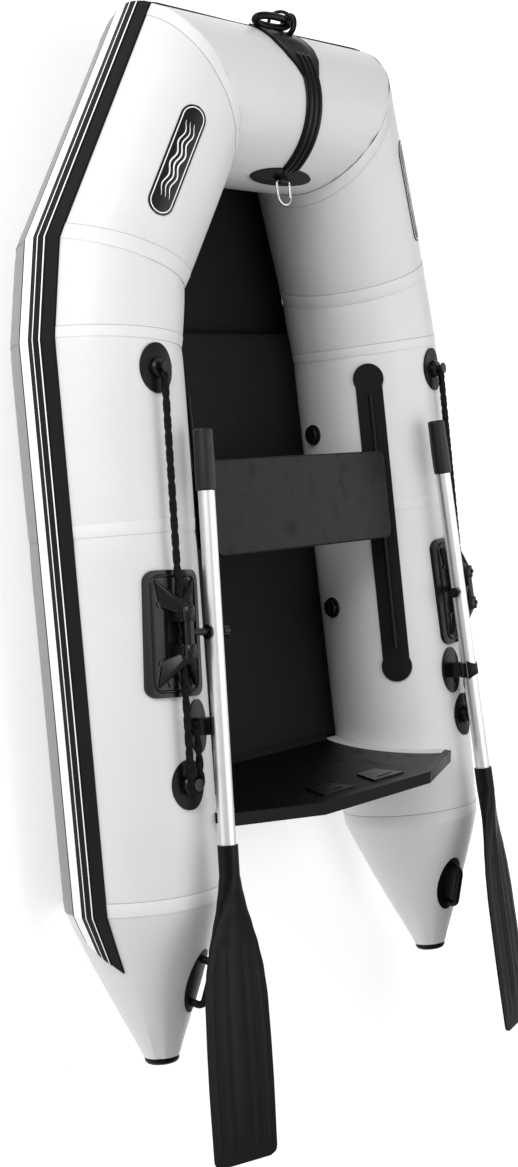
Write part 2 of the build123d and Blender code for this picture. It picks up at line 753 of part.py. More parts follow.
for word, side in sides.items():
    centre, forward, pin, off = lock_frame(side)
    grip_back = grip_front - grip_length
    shaft_front = grip_front - shaft_wall * 2
    with BuildPart() as upper:
        add(shaft_piece(side, shaft_front, joint_at + glue_line))
        with BuildSketch(oar_plane(side, joint_at - spigot_length)):
            Circle(shaft_r - shaft_wall - shaft_fit)
            Circle(shaft_r - 2 * shaft_wall - shaft_fit, mode=Mode.SUBTRACT)
        extrude(amount=spigot_length + shaft_r)
        with BuildSketch(oar_plane(side, joint_at + glue_line)):
            Circle(shaft_r)
            Circle(shaft_r - 2 * shaft_wall - shaft_fit, mode=Mode.SUBTRACT)
        extrude(amount=shaft_r / 2)
        with BuildSketch(Plane(origin=centre, x_dir=forward, z_dir=pin)):
            Circle(pin_r + pin_fit)
        extrude(amount=2 * oar_arm, mode=Mode.SUBTRACT)
    finish(f"oar_upper_shaft_{word}", upper.part)

    finish(f"oar_lower_shaft_{word}", shaft_piece(side, joint_at, socket_at - socket_depth))

    with BuildPart() as grip:
        with BuildSketch(oar_plane(side, grip_back)):
            Circle(grip_r)
        extrude(amount=grip_length)
        with BuildSketch(oar_plane(side, grip_back)):
            Circle(shaft_r + shaft_fit)
        extrude(amount=grip_length - shaft_wall, mode=Mode.SUBTRACT)
        fillet(grip.edges().filter_by(GeomType.CIRCLE).group_by(SortBy.RADIUS)[-1], 2)
    finish(f"oar_grip_{word}", grip.part)

    flat = Plane(origin=centre + pin * oar_arm + forward * socket_at, x_dir=forward * -1, z_dir=off)
    with BuildPart() as blade:
        with BuildSketch(flat.offset(-blade_t / 2)) as outline:
            with BuildLine():
                half = [
                    (blade_root_at, blade_root_half),
                    (blade_neck_at, socket_r + 17),
                    (blade_full_at, blade_half - 4),
                    (blade_length, blade_half),
                ]
                other = [(along, -wide) for along, wide in reversed(half)]
                Polyline(*half, *other, close=True)
            make_face()
            fillet(outline.vertices().group_by(Axis.X)[0], blade_corner)
        extrude(amount=blade_t)
        with BuildSketch(flat.offset(blade_t / 2)):
            with Locations((socket_length / 2 + rib_length / 2, 0)):
                Rectangle(rib_length, 2 * rib_half)
        extrude(amount=rib_height)
        with BuildSketch(oar_plane(side, socket_at - socket_length)):
            Circle(socket_r)
        extrude(amount=socket_length)
        with BuildSketch(oar_plane(side, socket_at - socket_depth - shaft_fit)):
            Circle(shaft_r + shaft_fit)
        extrude(amount=socket_depth + shaft_fit, mode=Mode.SUBTRACT)
    finish(f"oar_blade_{word}", blade.part)

def oar_clip(side):
    """Oval base on the tube with a half ring that the oar rests in."""
    centre, forward, pin, off = lock_frame(side)
    section = oar_plane(side, clip_at - clip_length / 2)
    middle = section.origin + forward * clip_length / 2
    tube_centre, tube_radius = station(middle.X, side)
    lift = (middle - tube_centre).cross(side_axis(side)).length
    foot = Plane(origin=middle, x_dir=side_axis(side), z_dir=(middle - tube_centre).normalized())
    ring_r = shaft_r + clip_gap + clip_wall
    with BuildPart() as clip:
        with BuildSketch(foot.offset(-lift)):
            Ellipse(clip_base_length / 2, clip_base_width / 2)
        extrude(amount=lift)
        add(tube_below(side, glue_line + clip_base_t), mode=Mode.INTERSECT)
        with BuildSketch(foot.offset(-lift + tube_radius / 2)):
            Rectangle(clip_length, clip_stem_t * 2)
        extrude(amount=lift - tube_radius / 2 - shaft_r)
        with BuildSketch(section):
            Circle(ring_r)
        extrude(amount=clip_length)
        with BuildSketch(oar_plane(side, clip_at - clip_length)):
            Circle(shaft_r + clip_gap)
        extrude(amount=2 * clip_length, mode=Mode.SUBTRACT)
        with BuildSketch(Plane(origin=section.origin, x_dir=pin, z_dir=off)):
            Rectangle(3 * ring_r, 4 * clip_length)
        extrude(amount=2 * ring_r, mode=Mode.SUBTRACT)
        add(tube_below(side, glue_line), mode=Mode.SUBTRACT)
    return clip.part


with BuildPart() as clips:
    for side in sides.values():
        add(oar_clip(side))
finish("oar_clips", clips.part)


with BuildPart() as patches:
    for side in sides.values():
        for x in (stud_fore_x, stud_aft_x):
            plane = tube_plane(x, side, stud_angle)
            add(tube_patch(side, plane, lambda: Ellipse(patch_length / 2, patch_width / 2), patch_t))
finish("rope_patches", patches.part)

def rope_stud(x, side):
    """Turned stud on a patch, its foot shaped to the tube."""
    seat = patch_t + 2 * glue_line
    plane = tube_plane(x, side, stud_angle, seat)
    with BuildPart() as stud:
        with BuildSketch(plane.offset(-patch_t)):
            Circle(stud_r)
        extrude(amount=patch_t + stud_height / 2)
        with BuildSketch(plane.offset(stud_height / 2)):
            Circle(stud_r)
        extrude(amount=stud_height / 2, taper=30)
        with BuildSketch(plane.offset(stud_height / 2)):
            Circle(neck_r)
        extrude(amount=stud_height / 2 + neck_height)
        with BuildSketch(plane.offset(stud_height + neck_height)):
            Circle(head_r)
        extrude(amount=head_t)
        add(tube_below(side, seat), mode=Mode.SUBTRACT)
    return stud.part


with BuildPart() as studs:
    for side in sides.values():
        for x in (stud_fore_x, stud_aft_x):
            add(rope_stud(x, side))
finish("rope_studs", studs.part)

rope_height = patch_t + 2 * glue_line + stud_height + neck_height / 2


def rope_point(x, side, sideways):
    """Point over the side tube at rope height, moved outboard by sideways."""
    along = Vector(1, 0, 0)
    level = around(along, side, stud_angle - 90)
    return on_tube(x, side, stud_angle, rope_height) + level * sideways


for word, side in sides.items():
    turn = neck_r + rope_r + rope_gap
    route = [
        rope_point(stud_fore_x - neck_r - rope_gap, side, 0),
        rope_point(stud_aft_x - turn, side, turn),
        rope_point(stud_aft_x - turn, side, -turn),
        rope_point(stud_aft_x + rope_tail, side, -turn),
    ]
    with BuildPart() as line:
        with BuildLine() as path:
            FilletPolyline(*route, radius=[turn * 0.98, turn * 0.98])
        with BuildSketch(Plane(origin=path.wire() @ 0, z_dir=path.wire() % 0)):
            Circle(rope_r)
        sweep()
    print(f"lifeline_{word}: length {path.wire().length:.0f}, turn radius {turn * 0.98:.1f}")
    finish(f"lifeline_{word}", line.part)


def bow_plane(y):
    """Section of the front tube: local X is forward and Y is up."""
    return Plane(origin=(bow_x, y, bow_z), x_dir=(1, 0, 0), z_dir=(0, -1, 0))


def bow_facing(angle, height=0.0):
    """Plane on the middle of the front tube, Z out of it and X to starboard."""
    normal = Vector(cos(radians(angle)), 0, sin(radians(angle)))
    point = Vector(bow_x, 0, bow_z) + normal * (tube_r + height)
    return Plane(origin=point, x_dir=(0, -1, 0), z_dir=normal)


with BuildPart() as grooved:
    band = band_face(bow_plane(strip_width / 2), tube_r + glue_line, tube_r + strip_t, strip_low, strip_high)
    extrude(band, amount=strip_width)
    pitch = strip_width / ridge_count
    for index in range(ridge_count):
        start_y = strip_width / 2 - pitch * index - (pitch - ridge_width) / 2
        low_r, high_r = tube_r + strip_t / 2, tube_r + strip_t + ridge_t
        extrude(band_face(bow_plane(start_y), low_r, high_r, strip_low, strip_high), amount=ridge_width)
finish("bow_strip", grooved.part)

with BuildPart() as nose:
    band = band_face(bow_plane(nose_wide / 2), tube_r + glue_line, tube_r + nose_t, nose_low, nose_high)
    extrude(band, amount=nose_wide)
    spread = tube_r * radians(nose_high - nose_low) / 2
    with BuildSketch(bow_facing((nose_low + nose_high) / 2, -tube_r / 2)):
        Trapezoid(nose_wide, 2.2 * spread, 73, rotation=180)
    extrude(amount=tube_r, mode=Mode.INTERSECT)
finish("bow_patch_outer", nose.part)


def standing(plane):
    """Plane square to a bow-facing one: X to starboard and Y into the tube."""
    return Plane(origin=plane.origin, x_dir=(0, -1, 0), z_dir=plane.z_dir.cross(Vector(0, -1, 0)))


with BuildPart() as loop:
    rest = bow_facing(loop_angle, nose_t + glue_line)
    with BuildLine(standing(rest)):
        feet = [(-loop_half, 0), (-loop_half, -loop_height), (loop_half, -loop_height), (loop_half, 0)]
        FilletPolyline(*feet, radius=loop_bend)
    with BuildSketch(Plane(origin=rest.from_local_coords((-loop_half, 0, 0)), z_dir=rest.z_dir)):
        Circle(loop_r)
    sweep()
finish("bow_handle", loop.part)

with BuildPart() as inner_patch:
    low, high = inner_angle - 14, inner_angle + 14
    band = band_face(bow_plane(inner_wide / 2), tube_r + glue_line, tube_r + inner_t, low, high)
    extrude(band, amount=inner_wide)
    with BuildSketch(bow_facing(inner_angle, -tube_r / 2)):
        Ellipse(inner_wide / 2, inner_high / 2)
    extrude(amount=tube_r, mode=Mode.INTERSECT)
    keeper = bow_facing(inner_angle, inner_t + keeper_off)
    keeper_end = keeper.from_local_coords((-keeper_length / 2, 0, 0))
    with BuildSketch(Plane(origin=keeper_end, x_dir=keeper.z_dir, z_dir=(0, -1, 0))):
        Circle(keeper_r)
        Rectangle(keeper_off + inner_t / 2, 2 * keeper_r, align=(Align.MAX, Align.CENTER))
        Circle(ring_wire + ring_fit, mode=Mode.SUBTRACT)
    extrude(amount=keeper_length)
finish("bow_patch_inner", inner_patch.part)

with BuildPart() as ring:
    hang_z = (cos(radians(ring_rest)), 0, sin(radians(ring_rest)))
    hang = Plane(origin=bow_facing(inner_angle, inner_t + keeper_off).origin, x_dir=(0, -1, 0), z_dir=hang_z)
    with BuildLine(standing(hang)) as eye:
        corners = [(-ring_half, 0), (-ring_half, -ring_reach), (ring_half, -ring_reach), (ring_half, 0)]
        tight = ring_wire * 1.6
        FilletPolyline(*corners, radius=[tight, ring_half * 0.9, ring_half * 0.9, tight], close=True)
    with BuildSketch(Plane(origin=eye.wire() @ 0, z_dir=eye.wire() % 0)):
        Circle(ring_wire)
    sweep()
finish("tow_ring", ring.part)


def valve_body(side, x, angle):
    """Flange outside the skin and a bored neck inside it."""
    plane = tube_plane(x, side, angle)
    with BuildPart() as valve:
        with BuildSketch(plane.offset(-valve_flange_t)):
            Circle(valve_flange_r)
        extrude(amount=2 * valve_flange_t)
        add(tube_below(side, glue_line), mode=Mode.SUBTRACT)
        with BuildSketch(plane.offset(-valve_depth)):
            Circle(valve_neck_r)
        extrude(amount=valve_depth + valve_flange_t / 2)
        with BuildSketch(plane.offset(-valve_depth)):
            Circle(valve_bore_r)
        extrude(amount=2 * valve_depth, mode=Mode.SUBTRACT)
    return valve.part


with BuildPart() as valve_bodies:
    for side, x, angle in valve_spots.values():
        add(valve_body(side, x, angle))
finish("valve_bodies", valve_bodies.part)

for word, (side, x, angle) in valve_spots.items():
    plane = tube_plane(x, side, angle, valve_flange_t + deck_gap)
    with BuildPart() as lid:
        with BuildSketch(plane):
            Circle(lid_r)
        extrude(amount=lid_t)
        fillet(lid.edges().filter_by(GeomType.CIRCLE), lid_t / 4)
        with BuildSketch(plane):
            Circle(valve_bore_r - plug_fit)
        extrude(amount=-lid_plug_depth)
        with BuildSketch(plane.offset(lid_t / 2)):
            Rectangle(2 * lid_r - lid_t, lid_t / 2)
        extrude(amount=lid_t)
    finish(f"valve_cap_{word}", lid.part)

def cone_surface(x, side):
    centre, radius = cone_station(x, side)
    return centre + around(side_axis(side), side, handle_angle) * radius


def tail_handle(side):
    """Oval base on the cone with a bar to lift by."""
    surface = cone_surface(handle_x, side)
    along = (cone_surface(handle_x + 1, side) - cone_surface(handle_x - 1, side)).normalized()
    normal = around(side_axis(side), side, handle_angle)
    normal = (normal - along * normal.dot(along)).normalized()
    seat_plane = Plane(origin=surface, x_dir=along, z_dir=normal)
    side_plane = Plane(origin=surface, x_dir=along, z_dir=along.cross(normal))
    feet = [(-handle_half, 0), (-handle_half, handle_height), (handle_half, handle_height), (handle_half, 0)]
    with BuildPart() as handle:
        foot = lambda: Ellipse(handle_length / 2, handle_width / 2)
        add(tube_patch(side, seat_plane, foot, handle_base_t, True))
        with BuildLine(side_plane):
            FilletPolyline(*feet, radius=handle_bar_r * 1.8)
        with BuildSketch(Plane(origin=side_plane.from_local_coords(feet[0]), z_dir=normal)):
            Circle(handle_bar_r)
        sweep()
        add(cone_solid(side, glue_line), mode=Mode.SUBTRACT)
    return handle.part


with BuildPart() as handles:
    for side in sides.values():
        add(tail_handle(side))
finish("tail_handles", handles.part)

def badge(side):
    """Thin plate bent over the side of the bow tube."""
    start, end = axis_points(side)[2:]
    run = (end - start).normalized()
    normal = around(run, side, badge_angle)
    plane = Plane(origin=start + run * badge_at + normal * tube_r, x_dir=run, z_dir=normal)
    with BuildPart() as plate:
        with BuildSketch(plane.offset(-tube_r / 2)):
            SlotOverall(badge_length, badge_width)
        extrude(amount=tube_r)
        add(tube_solid(start, end, tube_r, tube_r, glue_line + badge_t), mode=Mode.INTERSECT)
        add(tube_solid(start, end, tube_r, tube_r, glue_line, 1), mode=Mode.SUBTRACT)
    return plate.part


with BuildPart() as badges:
    for side in sides.values():
        add(badge(side))
finish("badges", badges.part)

box = Compound(children=list(made.values())).bounding_box()
print("nodes", len(made), "box", box.min, box.max)
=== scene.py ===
import math

import bmesh
import bpy
from mathutils import Matrix, Vector, noise


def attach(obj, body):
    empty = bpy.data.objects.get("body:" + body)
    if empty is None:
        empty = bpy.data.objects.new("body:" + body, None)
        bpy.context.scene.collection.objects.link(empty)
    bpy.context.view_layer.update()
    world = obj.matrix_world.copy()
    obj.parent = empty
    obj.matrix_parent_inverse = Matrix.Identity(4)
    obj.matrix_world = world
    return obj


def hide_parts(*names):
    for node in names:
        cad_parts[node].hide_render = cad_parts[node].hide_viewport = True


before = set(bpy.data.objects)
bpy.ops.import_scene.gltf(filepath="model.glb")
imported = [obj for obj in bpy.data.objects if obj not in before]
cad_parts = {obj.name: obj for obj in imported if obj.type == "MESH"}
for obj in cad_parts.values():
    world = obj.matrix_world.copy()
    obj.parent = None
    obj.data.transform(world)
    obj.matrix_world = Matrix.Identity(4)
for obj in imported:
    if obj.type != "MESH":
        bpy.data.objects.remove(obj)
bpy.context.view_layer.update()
scene = bpy.context.scene
sides = {"port": 1, "starboard": -1}

print("stage: camera")
# The boat seen from port and above, with its bow up in the picture.
cameraSetup = {
    "lens": 63.27, "place": (0.0706, 3.8089, 2.9832), "reach": 60,
    "right": (-0.101534, -0.590147, 0.800886), "up": (0.994494, -0.081191, 0.066253),
}
cameraRight, cameraUp = Vector(cameraSetup["right"]), Vector(cameraSetup["up"])
cameraData = bpy.data.cameras.new("camera")
cameraData.lens = cameraSetup["lens"]
cameraData.clip_end = cameraSetup["reach"]
camera = bpy.data.objects.new("camera", cameraData)
scene.collection.objects.link(camera)
turn = Matrix((cameraRight, cameraUp, cameraRight.cross(cameraUp))).transposed().to_4x4()
camera.matrix_world = Matrix.Translation(cameraSetup["place"]) @ turn
scene.camera = camera
scene.view_settings.view_transform = "Standard"

# Hull centreline, in metres, for the port side; starboard mirrors it.
hull = {
    "stern": (-0.6863, 0.531, 0.1676),
    "shoulder": (0.4822, 0.512, 0.180),
    "bend": (0.6487, 0.4805, 0.187),
    "bow": (1.0212, 0.286, 0.266),
    "coneTip": (-1.0078, 0.5395, 0.182),
    "tubeRadius": 0.180,
    "tailRadius": 0.1676,
    "tipRadius": 0.037,
    "middle": 0.0877,
}


def corner(name, side):
    x, y, z = hull[name]
    return Vector((x, y * side, z))


def levelOut(direction, side):
    return Vector((-direction.y * side, direction.x * side, 0)).normalized()


# A straight run of tube between two seam planes.
def makePanel(start, end, startRadius, endRadius, startNormal, endNormal, side):
    axis = (end - start).normalized()
    level = levelOut(axis, side)
    return {
        "start": start, "axis": axis, "length": (end - start).length, "level": level,
        "up": (axis * side).cross(level), "radii": (startRadius, endRadius),
        "normals": (startNormal, endNormal),
    }


# Where the line at an angle over the tube meets the two seam planes.
def panelReach(panel, angle):
    out = panel["level"] * math.cos(angle) + panel["up"] * math.sin(angle)
    first, last = panel["normals"]
    axis, (r0, r1) = panel["axis"], panel["radii"]
    begin = -out.dot(first) * r0 / axis.dot(first)
    finish = panel["length"] - out.dot(last) * r1 / axis.dot(last)
    return out, begin, finish


def panelPoint(panel, angle, along, height=0.0):
    out = panel["level"] * math.cos(angle) + panel["up"] * math.sin(angle)
    r0, r1 = panel["radii"]
    radius = r0 + (r1 - r0) * along / panel["length"]
    return panel["start"] + panel["axis"] * along + out * (radius + height)


panels = {}
for word, side in sides.items():
    stern, shoulder, bend, bow = (corner(name, side) for name in ("stern", "shoulder", "bend", "bow"))
    runs = [(b - a).normalized() for a, b in ((stern, shoulder), (shoulder, bend), (bend, bow))]
    runs.append(Vector((0, -side, 0)))
    mitres = [(a + b).normalized() for a, b in zip(runs, runs[1:])]
    share = (hull["middle"] - stern.x) / (shoulder.x - stern.x)
    middle = stern.lerp(shoulder, share)
    tail, full = hull["tailRadius"], hull["tubeRadius"]
    middleRadius = tail + (full - tail) * share
    panels[f"aft_side_tube_{word}"] = makePanel(stern, middle, tail, middleRadius, runs[0], runs[0], side)
    fore = makePanel(middle, shoulder, middleRadius, full, runs[0], mitres[0], side)
    panels[f"fore_side_tube_{word}"] = fore
    panels[f"side_{word}"] = makePanel(stern, shoulder, tail, full, runs[0], mitres[0], side)
    panels[f"shoulder_tube_{word}"] = makePanel(shoulder, bend, full, full, mitres[0], mitres[1], side)
    panels[f"bow_side_tube_{word}"] = makePanel(bend, bow, full, full, mitres[1], mitres[2], side)
    cone = makePanel(corner("coneTip", side), stern, hull["tipRadius"], tail, runs[0], runs[0], side)
    cone["level"] = levelOut(runs[0], side)
    cone["up"] = (runs[0] * side).cross(cone["level"])
    panels[f"tail_cone_{word}"] = cone
    if side == 1:
        frontStart = mitres[2]
    else:
        frontEnd = -mitres[2]
panels["bow_tube"] = makePanel(corner("bow", 1), corner("bow", -1), full, full, frontStart, frontEnd, 1)


def bowPoint(angle, y, height):
    x, _, z = hull["bow"]
    out = Vector((math.cos(angle), 0, math.sin(angle)))
    return Vector((x, y, z)) + out * (hull["tubeRadius"] + height)


# How far a value has come, from 0 to 1, over a stretch that begins at start.
def ramp(value, start, over):
    return min(1.0, max(0.0, (value - start) / over))


def smoothObject(name, points, faces, indices=None, smooth=True):
    mesh = bpy.data.meshes.new(name)
    mesh.from_pydata([tuple(p) for p in points], [], faces)
    if indices:
        for polygon, index in zip(mesh.polygons, indices):
            polygon.material_index = index
    for polygon in mesh.polygons:
        polygon.use_smooth = smooth
    mesh.update()
    made = bpy.data.objects.new(name, mesh)
    scene.collection.objects.link(made)
    return made


# Faces of a grid whose points run along each row; closed joins the last column to the first.
def gridFaces(rows, columns, closed=False):
    faces = []
    span = columns if closed else columns - 1
    for r in range(rows - 1):
        for c in range(span):
            d = (c + 1) % columns
            faces.append((r * columns + c, r * columns + d, (r + 1) * columns + d, (r + 1) * columns + c))
    return faces


def outwards(made):
    shape = bmesh.new()
    shape.from_mesh(made.data)
    bmesh.ops.recalc_face_normals(shape, faces=shape.faces)
    shape.to_mesh(made.data)
    shape.free()


# The mesh of an object with its curve or modifiers worked out.
def evaluatedMesh(made):
    bpy.context.view_layer.update()
    return bpy.data.meshes.new_from_object(made.evaluated_get(bpy.context.evaluated_depsgraph_get()))


print("stage: finishes")


# Shared finishes: each group gives a colour, a roughness and a normal.
def newGroup(name, values):
    group = bpy.data.node_groups.new(name, "ShaderNodeTree")
    for label, kind, value in values:
        socket = group.interface.new_socket(label, in_out="INPUT", socket_type=kind)
        socket.default_value = value
    for label, kind in (("Color", "Color"), ("Roughness", "Float"), ("Normal", "Vector")):
        group.interface.new_socket(label, in_out="OUTPUT", socket_type="NodeSocket" + kind)
    return group, group.nodes.new("NodeGroupInput"), group.nodes.new("NodeGroupOutput")


def addNoise(tree, vector, scale, detail=3.0, stretch=None):
    texture = tree.nodes.new("ShaderNodeTexNoise")
    texture.inputs["Detail"].default_value = detail
    if isinstance(scale, (int, float)):
        texture.inputs["Scale"].default_value = scale
    else:
        tree.links.new(scale, texture.inputs["Scale"])
    if stretch:
        mapping = tree.nodes.new("ShaderNodeMapping")
        mapping.inputs["Scale"].default_value = stretch
        tree.links.new(vector, mapping.inputs["Vector"])
        vector = mapping.outputs["Vector"]
    tree.links.new(vector, texture.inputs["Vector"])
    return texture.outputs["Fac"]


def addMath(tree, kind, first, second):
    node = tree.nodes.new("ShaderNodeMath")
    node.operation = kind
    for socket, value in zip(node.inputs, (first, second)):
        if isinstance(value, (int, float)):
            socket.default_value = value
        else:
            tree.links.new(value, socket)
    return node.outputs[0]


def addMix(tree, factor, first, second):
    mix = tree.nodes.new("ShaderNodeMix")
    mix.data_type = "RGBA"
    for socket, value in ((mix.inputs[0], factor), (mix.inputs[6], first), (mix.inputs[7], second)):
        if isinstance(value, (int, float, tuple)):
            socket.default_value = value
        else:
            tree.links.new(value, socket)
    return mix.outputs[2]


def addBump(tree, height, depth, strength=1.0):
    bump = tree.nodes.new("ShaderNodeBump")
    bump.inputs["Distance"].default_value = depth
    bump.inputs["Strength"].default_value = strength
    tree.links.new(height, bump.inputs["Height"])
    return bump.outputs["Normal"]


def objectPlace(tree):
    return tree.nodes.new("ShaderNodeTexCoord").outputs["Object"]


def addRampValue(tree, value, low, high):
    node = tree.nodes.new("ShaderNodeMapRange")
    node.inputs["From Min"].default_value = low
    node.inputs["From Max"].default_value = high
    tree.links.new(value, node.inputs["Value"])
    return node.outputs["Result"]


def addWave(tree, vector, scale, direction):
    wave = tree.nodes.new("ShaderNodeTexWave")
    wave.bands_direction = direction
    wave.inputs["Scale"].default_value = scale
    wave.inputs["Distortion"].default_value = 0.6
    tree.links.new(vector, wave.inputs["Vector"])
    return wave.outputs["Fac"]


fabricLook = {
    "cloudDetail": 4.0, "cloudFrom": 0.42, "cloudTo": 0.72, "mottle": 0.35, "smearScale": 18.0, "smear": 0.16,
    "weaveScale": 420.0, "rippleScale": 16.0, "ripple": 9.0, "bumpDepth": 0.00012, "bumpStrength": 0.55,
}


def coatedFabricGroup():
    group, given, result = newGroup("coatedFabric", [
        ("Color", "NodeSocketColor", (0.8, 0.8, 0.8, 1)),
        ("Shade", "NodeSocketColor", (0.6, 0.6, 0.6, 1)),
        ("Cloud", "NodeSocketFloat", 5.0),
        ("Gloss", "NodeSocketFloat", 0.34),
    ])
    look, spot = fabricLook, objectPlace(group)
    cloud = addNoise(group, spot, given.outputs["Cloud"], look["cloudDetail"])
    cloud = addRampValue(group, cloud, look["cloudFrom"], look["cloudTo"])
    mottle = addMath(group, "MULTIPLY", cloud, look["mottle"])
    colour = addMix(group, mottle, given.outputs["Color"], given.outputs["Shade"])
    group.links.new(colour, result.inputs["Color"])
    smear = addMath(group, "MULTIPLY", addNoise(group, spot, look["smearScale"]), look["smear"])
    rough = addMath(group, "ADD", given.outputs["Gloss"], smear)
    group.links.new(rough, result.inputs["Roughness"])
    weave = [addWave(group, spot, look["weaveScale"], direction) for direction in ("X", "Y")]
    ripple = addMath(group, "MULTIPLY", addNoise(group, spot, look["rippleScale"], 2.0), look["ripple"])
    height = addMath(group, "ADD", addMath(group, "ADD", *weave), ripple)
    normal = addBump(group, height, look["bumpDepth"], look["bumpStrength"])
    group.links.new(normal, result.inputs["Normal"])
    return group


mouldedLook = {
    "dustScale": 22.0, "dustFrom": 0.55, "scuffScale": 140.0, "scuffStretch": (1, 6, 6), "scuffFrom": 0.62,
    "full": 0.8, "worn": 0.22, "dulled": 0.8, "bumpDepth": 0.0002, "bumpStrength": 0.5,
}


def mouldedGroup():
    group, given, result = newGroup("mouldedGrain", [
        ("Color", "NodeSocketColor", (0.02, 0.02, 0.02, 1)),
        ("Dust", "NodeSocketColor", (0.12, 0.12, 0.12, 1)),
        ("Grain", "NodeSocketFloat", 900.0),
        ("Gloss", "NodeSocketFloat", 0.4),
    ])
    look, spot = mouldedLook, objectPlace(group)
    dust = addRampValue(group, addNoise(group, spot, look["dustScale"], 5.0), look["dustFrom"], look["full"])
    scuff = addNoise(group, spot, look["scuffScale"], 4.0, look["scuffStretch"])
    scuff = addRampValue(group, scuff, look["scuffFrom"], look["full"])
    mask = addMath(group, "MULTIPLY", addMath(group, "ADD", dust, scuff), look["worn"])
    colour = addMix(group, mask, given.outputs["Color"], given.outputs["Dust"])
    group.links.new(colour, result.inputs["Color"])
    rough = addMath(group, "ADD", given.outputs["Gloss"], addMath(group, "MULTIPLY", mask, look["dulled"]))
    group.links.new(rough, result.inputs["Roughness"])
    grain = addNoise(group, spot, given.outputs["Grain"], 2.0)
    normal = addBump(group, grain, look["bumpDepth"], look["bumpStrength"])
    group.links.new(normal, result.inputs["Normal"])
    return group


metalLook = {
    "lineScale": 60.0, "lineStretch": (0.12, 22, 22), "spotScale": 30.0, "spotFrom": 0.5, "spotTo": 0.8,
    "detail": 4.0, "worn": 0.35, "dulled": 0.18, "bumpDepth": 0.00008, "bumpStrength": 0.5,
}


def brushedGroup():
    group, given, result = newGroup("brushedMetal", [
        ("Color", "NodeSocketColor", (0.75, 0.75, 0.76, 1)),
        ("Dull", "NodeSocketColor", (0.5, 0.5, 0.52, 1)),
        ("Gloss", "NodeSocketFloat", 0.3),
    ])
    look, spot = metalLook, objectPlace(group)
    lines = addNoise(group, spot, look["lineScale"], look["detail"], look["lineStretch"])
    spots = addNoise(group, spot, look["spotScale"], look["detail"])
    spots = addRampValue(group, spots, look["spotFrom"], look["spotTo"])
    mask = addMath(group, "MULTIPLY", addMath(group, "ADD", lines, spots), look["worn"])
    colour = addMix(group, mask, given.outputs["Color"], given.outputs["Dull"])
    group.links.new(colour, result.inputs["Color"])
    rough = addMath(group, "ADD", given.outputs["Gloss"], addMath(group, "MULTIPLY", lines, look["dulled"]))
    group.links.new(rough, result.inputs["Roughness"])
    normal = addBump(group, lines, look["bumpDepth"], look["bumpStrength"])
    group.links.new(normal, result.inputs["Normal"])
    return group


fabricGroup, plasticGroup, metalGroup = coatedFabricGroup(), mouldedGroup(), brushedGroup()


def makeMaterial(name, group, values, metallic=0.0, coat=0.0, specular=0.5):
    material = bpy.data.materials.new(name)
    material.use_nodes = True
    tree = material.node_tree
    shader = tree.nodes["Principled BSDF"]
    shader.inputs["Metallic"].default_value = metallic
    shader.inputs["Coat Weight"].default_value = coat
    shader.inputs["Specular IOR Level"].default_value = specular
    finish = tree.nodes.new("ShaderNodeGroup")
    finish.node_tree = group
    for label, value in values.items():
        finish.inputs[label].default_value = (*value, 1) if isinstance(value, tuple) else value
    tree.links.new(finish.outputs["Color"], shader.inputs["Base Color"])
    tree.links.new(finish.outputs["Roughness"], shader.inputs["Roughness"])
    tree.links.new(finish.outputs["Normal"], shader.inputs["Normal"])
    return material


finishes = {
    "tube": (fabricGroup, {"Color": (0.755, 0.755, 0.745), "Shade": (0.68, 0.68, 0.67), "Gloss": 0.3}),
    # Darker grey drawn on the tubes and tapes below the rub strake and on the bottom sheet's lower faces.
    "belly": (fabricGroup,
        {"Color": (0.275, 0.275, 0.27), "Shade": (0.235, 0.235, 0.23), "Gloss": 0.36}),
    "tape": (fabricGroup, {"Color": (0.775, 0.775, 0.765), "Shade": (0.70, 0.70, 0.69), "Gloss": 0.28}),
    # Darker grey painted on the tape edge steps as their shade.
    "seamEdgeShade": (fabricGroup, {"Color": (0.40, 0.40, 0.39), "Shade": (0.33, 0.33, 0.325), "Gloss": 0.4}),
    "deck": (fabricGroup,
        {"Color": (0.0055, 0.0055, 0.006), "Shade": (0.008, 0.008, 0.0085), "Gloss": 0.55}),
    "whiteRubber": (plasticGroup,
        {"Color": (0.96, 0.96, 0.96), "Dust": (0.86, 0.86, 0.86), "Gloss": 0.3}),
    "rubber": (plasticGroup,
        {"Color": (0.002, 0.002, 0.0022), "Dust": (0.007, 0.007, 0.0075), "Gloss": 0.36}),
    "plastic": (plasticGroup,
        {"Color": (0.0045, 0.0045, 0.005), "Dust": (0.010, 0.010, 0.0105), "Gloss": 0.26}),
    "gripRubber": (plasticGroup,
        {"Color": (0.009, 0.0105, 0.012), "Dust": (0.015, 0.017, 0.019), "Gloss": 0.42}),
    "bladePlastic": (plasticGroup,
        {"Color": (0.002, 0.002, 0.0024), "Dust": (0.006, 0.0065, 0.007), "Gloss": 0.34}),
    "railRubber": (plasticGroup,
        {"Color": (0.003, 0.0042, 0.0055), "Dust": (0.009, 0.011, 0.013), "Gloss": 0.42}),
    "board": (plasticGroup,
        {"Color": (0.001, 0.001, 0.001), "Dust": (0.004, 0.004, 0.004), "Grain": 500.0}),
    "seatBoard": (plasticGroup,
        {"Color": (0.0028, 0.0022, 0.0022), "Dust": (0.0065, 0.0052, 0.0052), "Grain": 320.0}),
    "cord": (plasticGroup,
        {"Color": (0.001, 0.001, 0.001), "Dust": (0.006, 0.006, 0.006), "Gloss": 0.6}),
    "aluminium": (metalGroup, {"Color": (0.86, 0.86, 0.87), "Dull": (0.66, 0.66, 0.68), "Gloss": 0.36}),
    "steel": (metalGroup, {"Color": (0.72, 0.72, 0.73), "Dull": (0.5, 0.5, 0.5), "Gloss": 0.14}),
}
paleFinishes = ("tube", "tape", "belly", "seamEdgeShade", "whiteRubber", "aluminium", "steel")
shine = {"coat": 0.15, "pale": 0.5, "moulded": 0.34, "dark": 0.16}
materials = {}
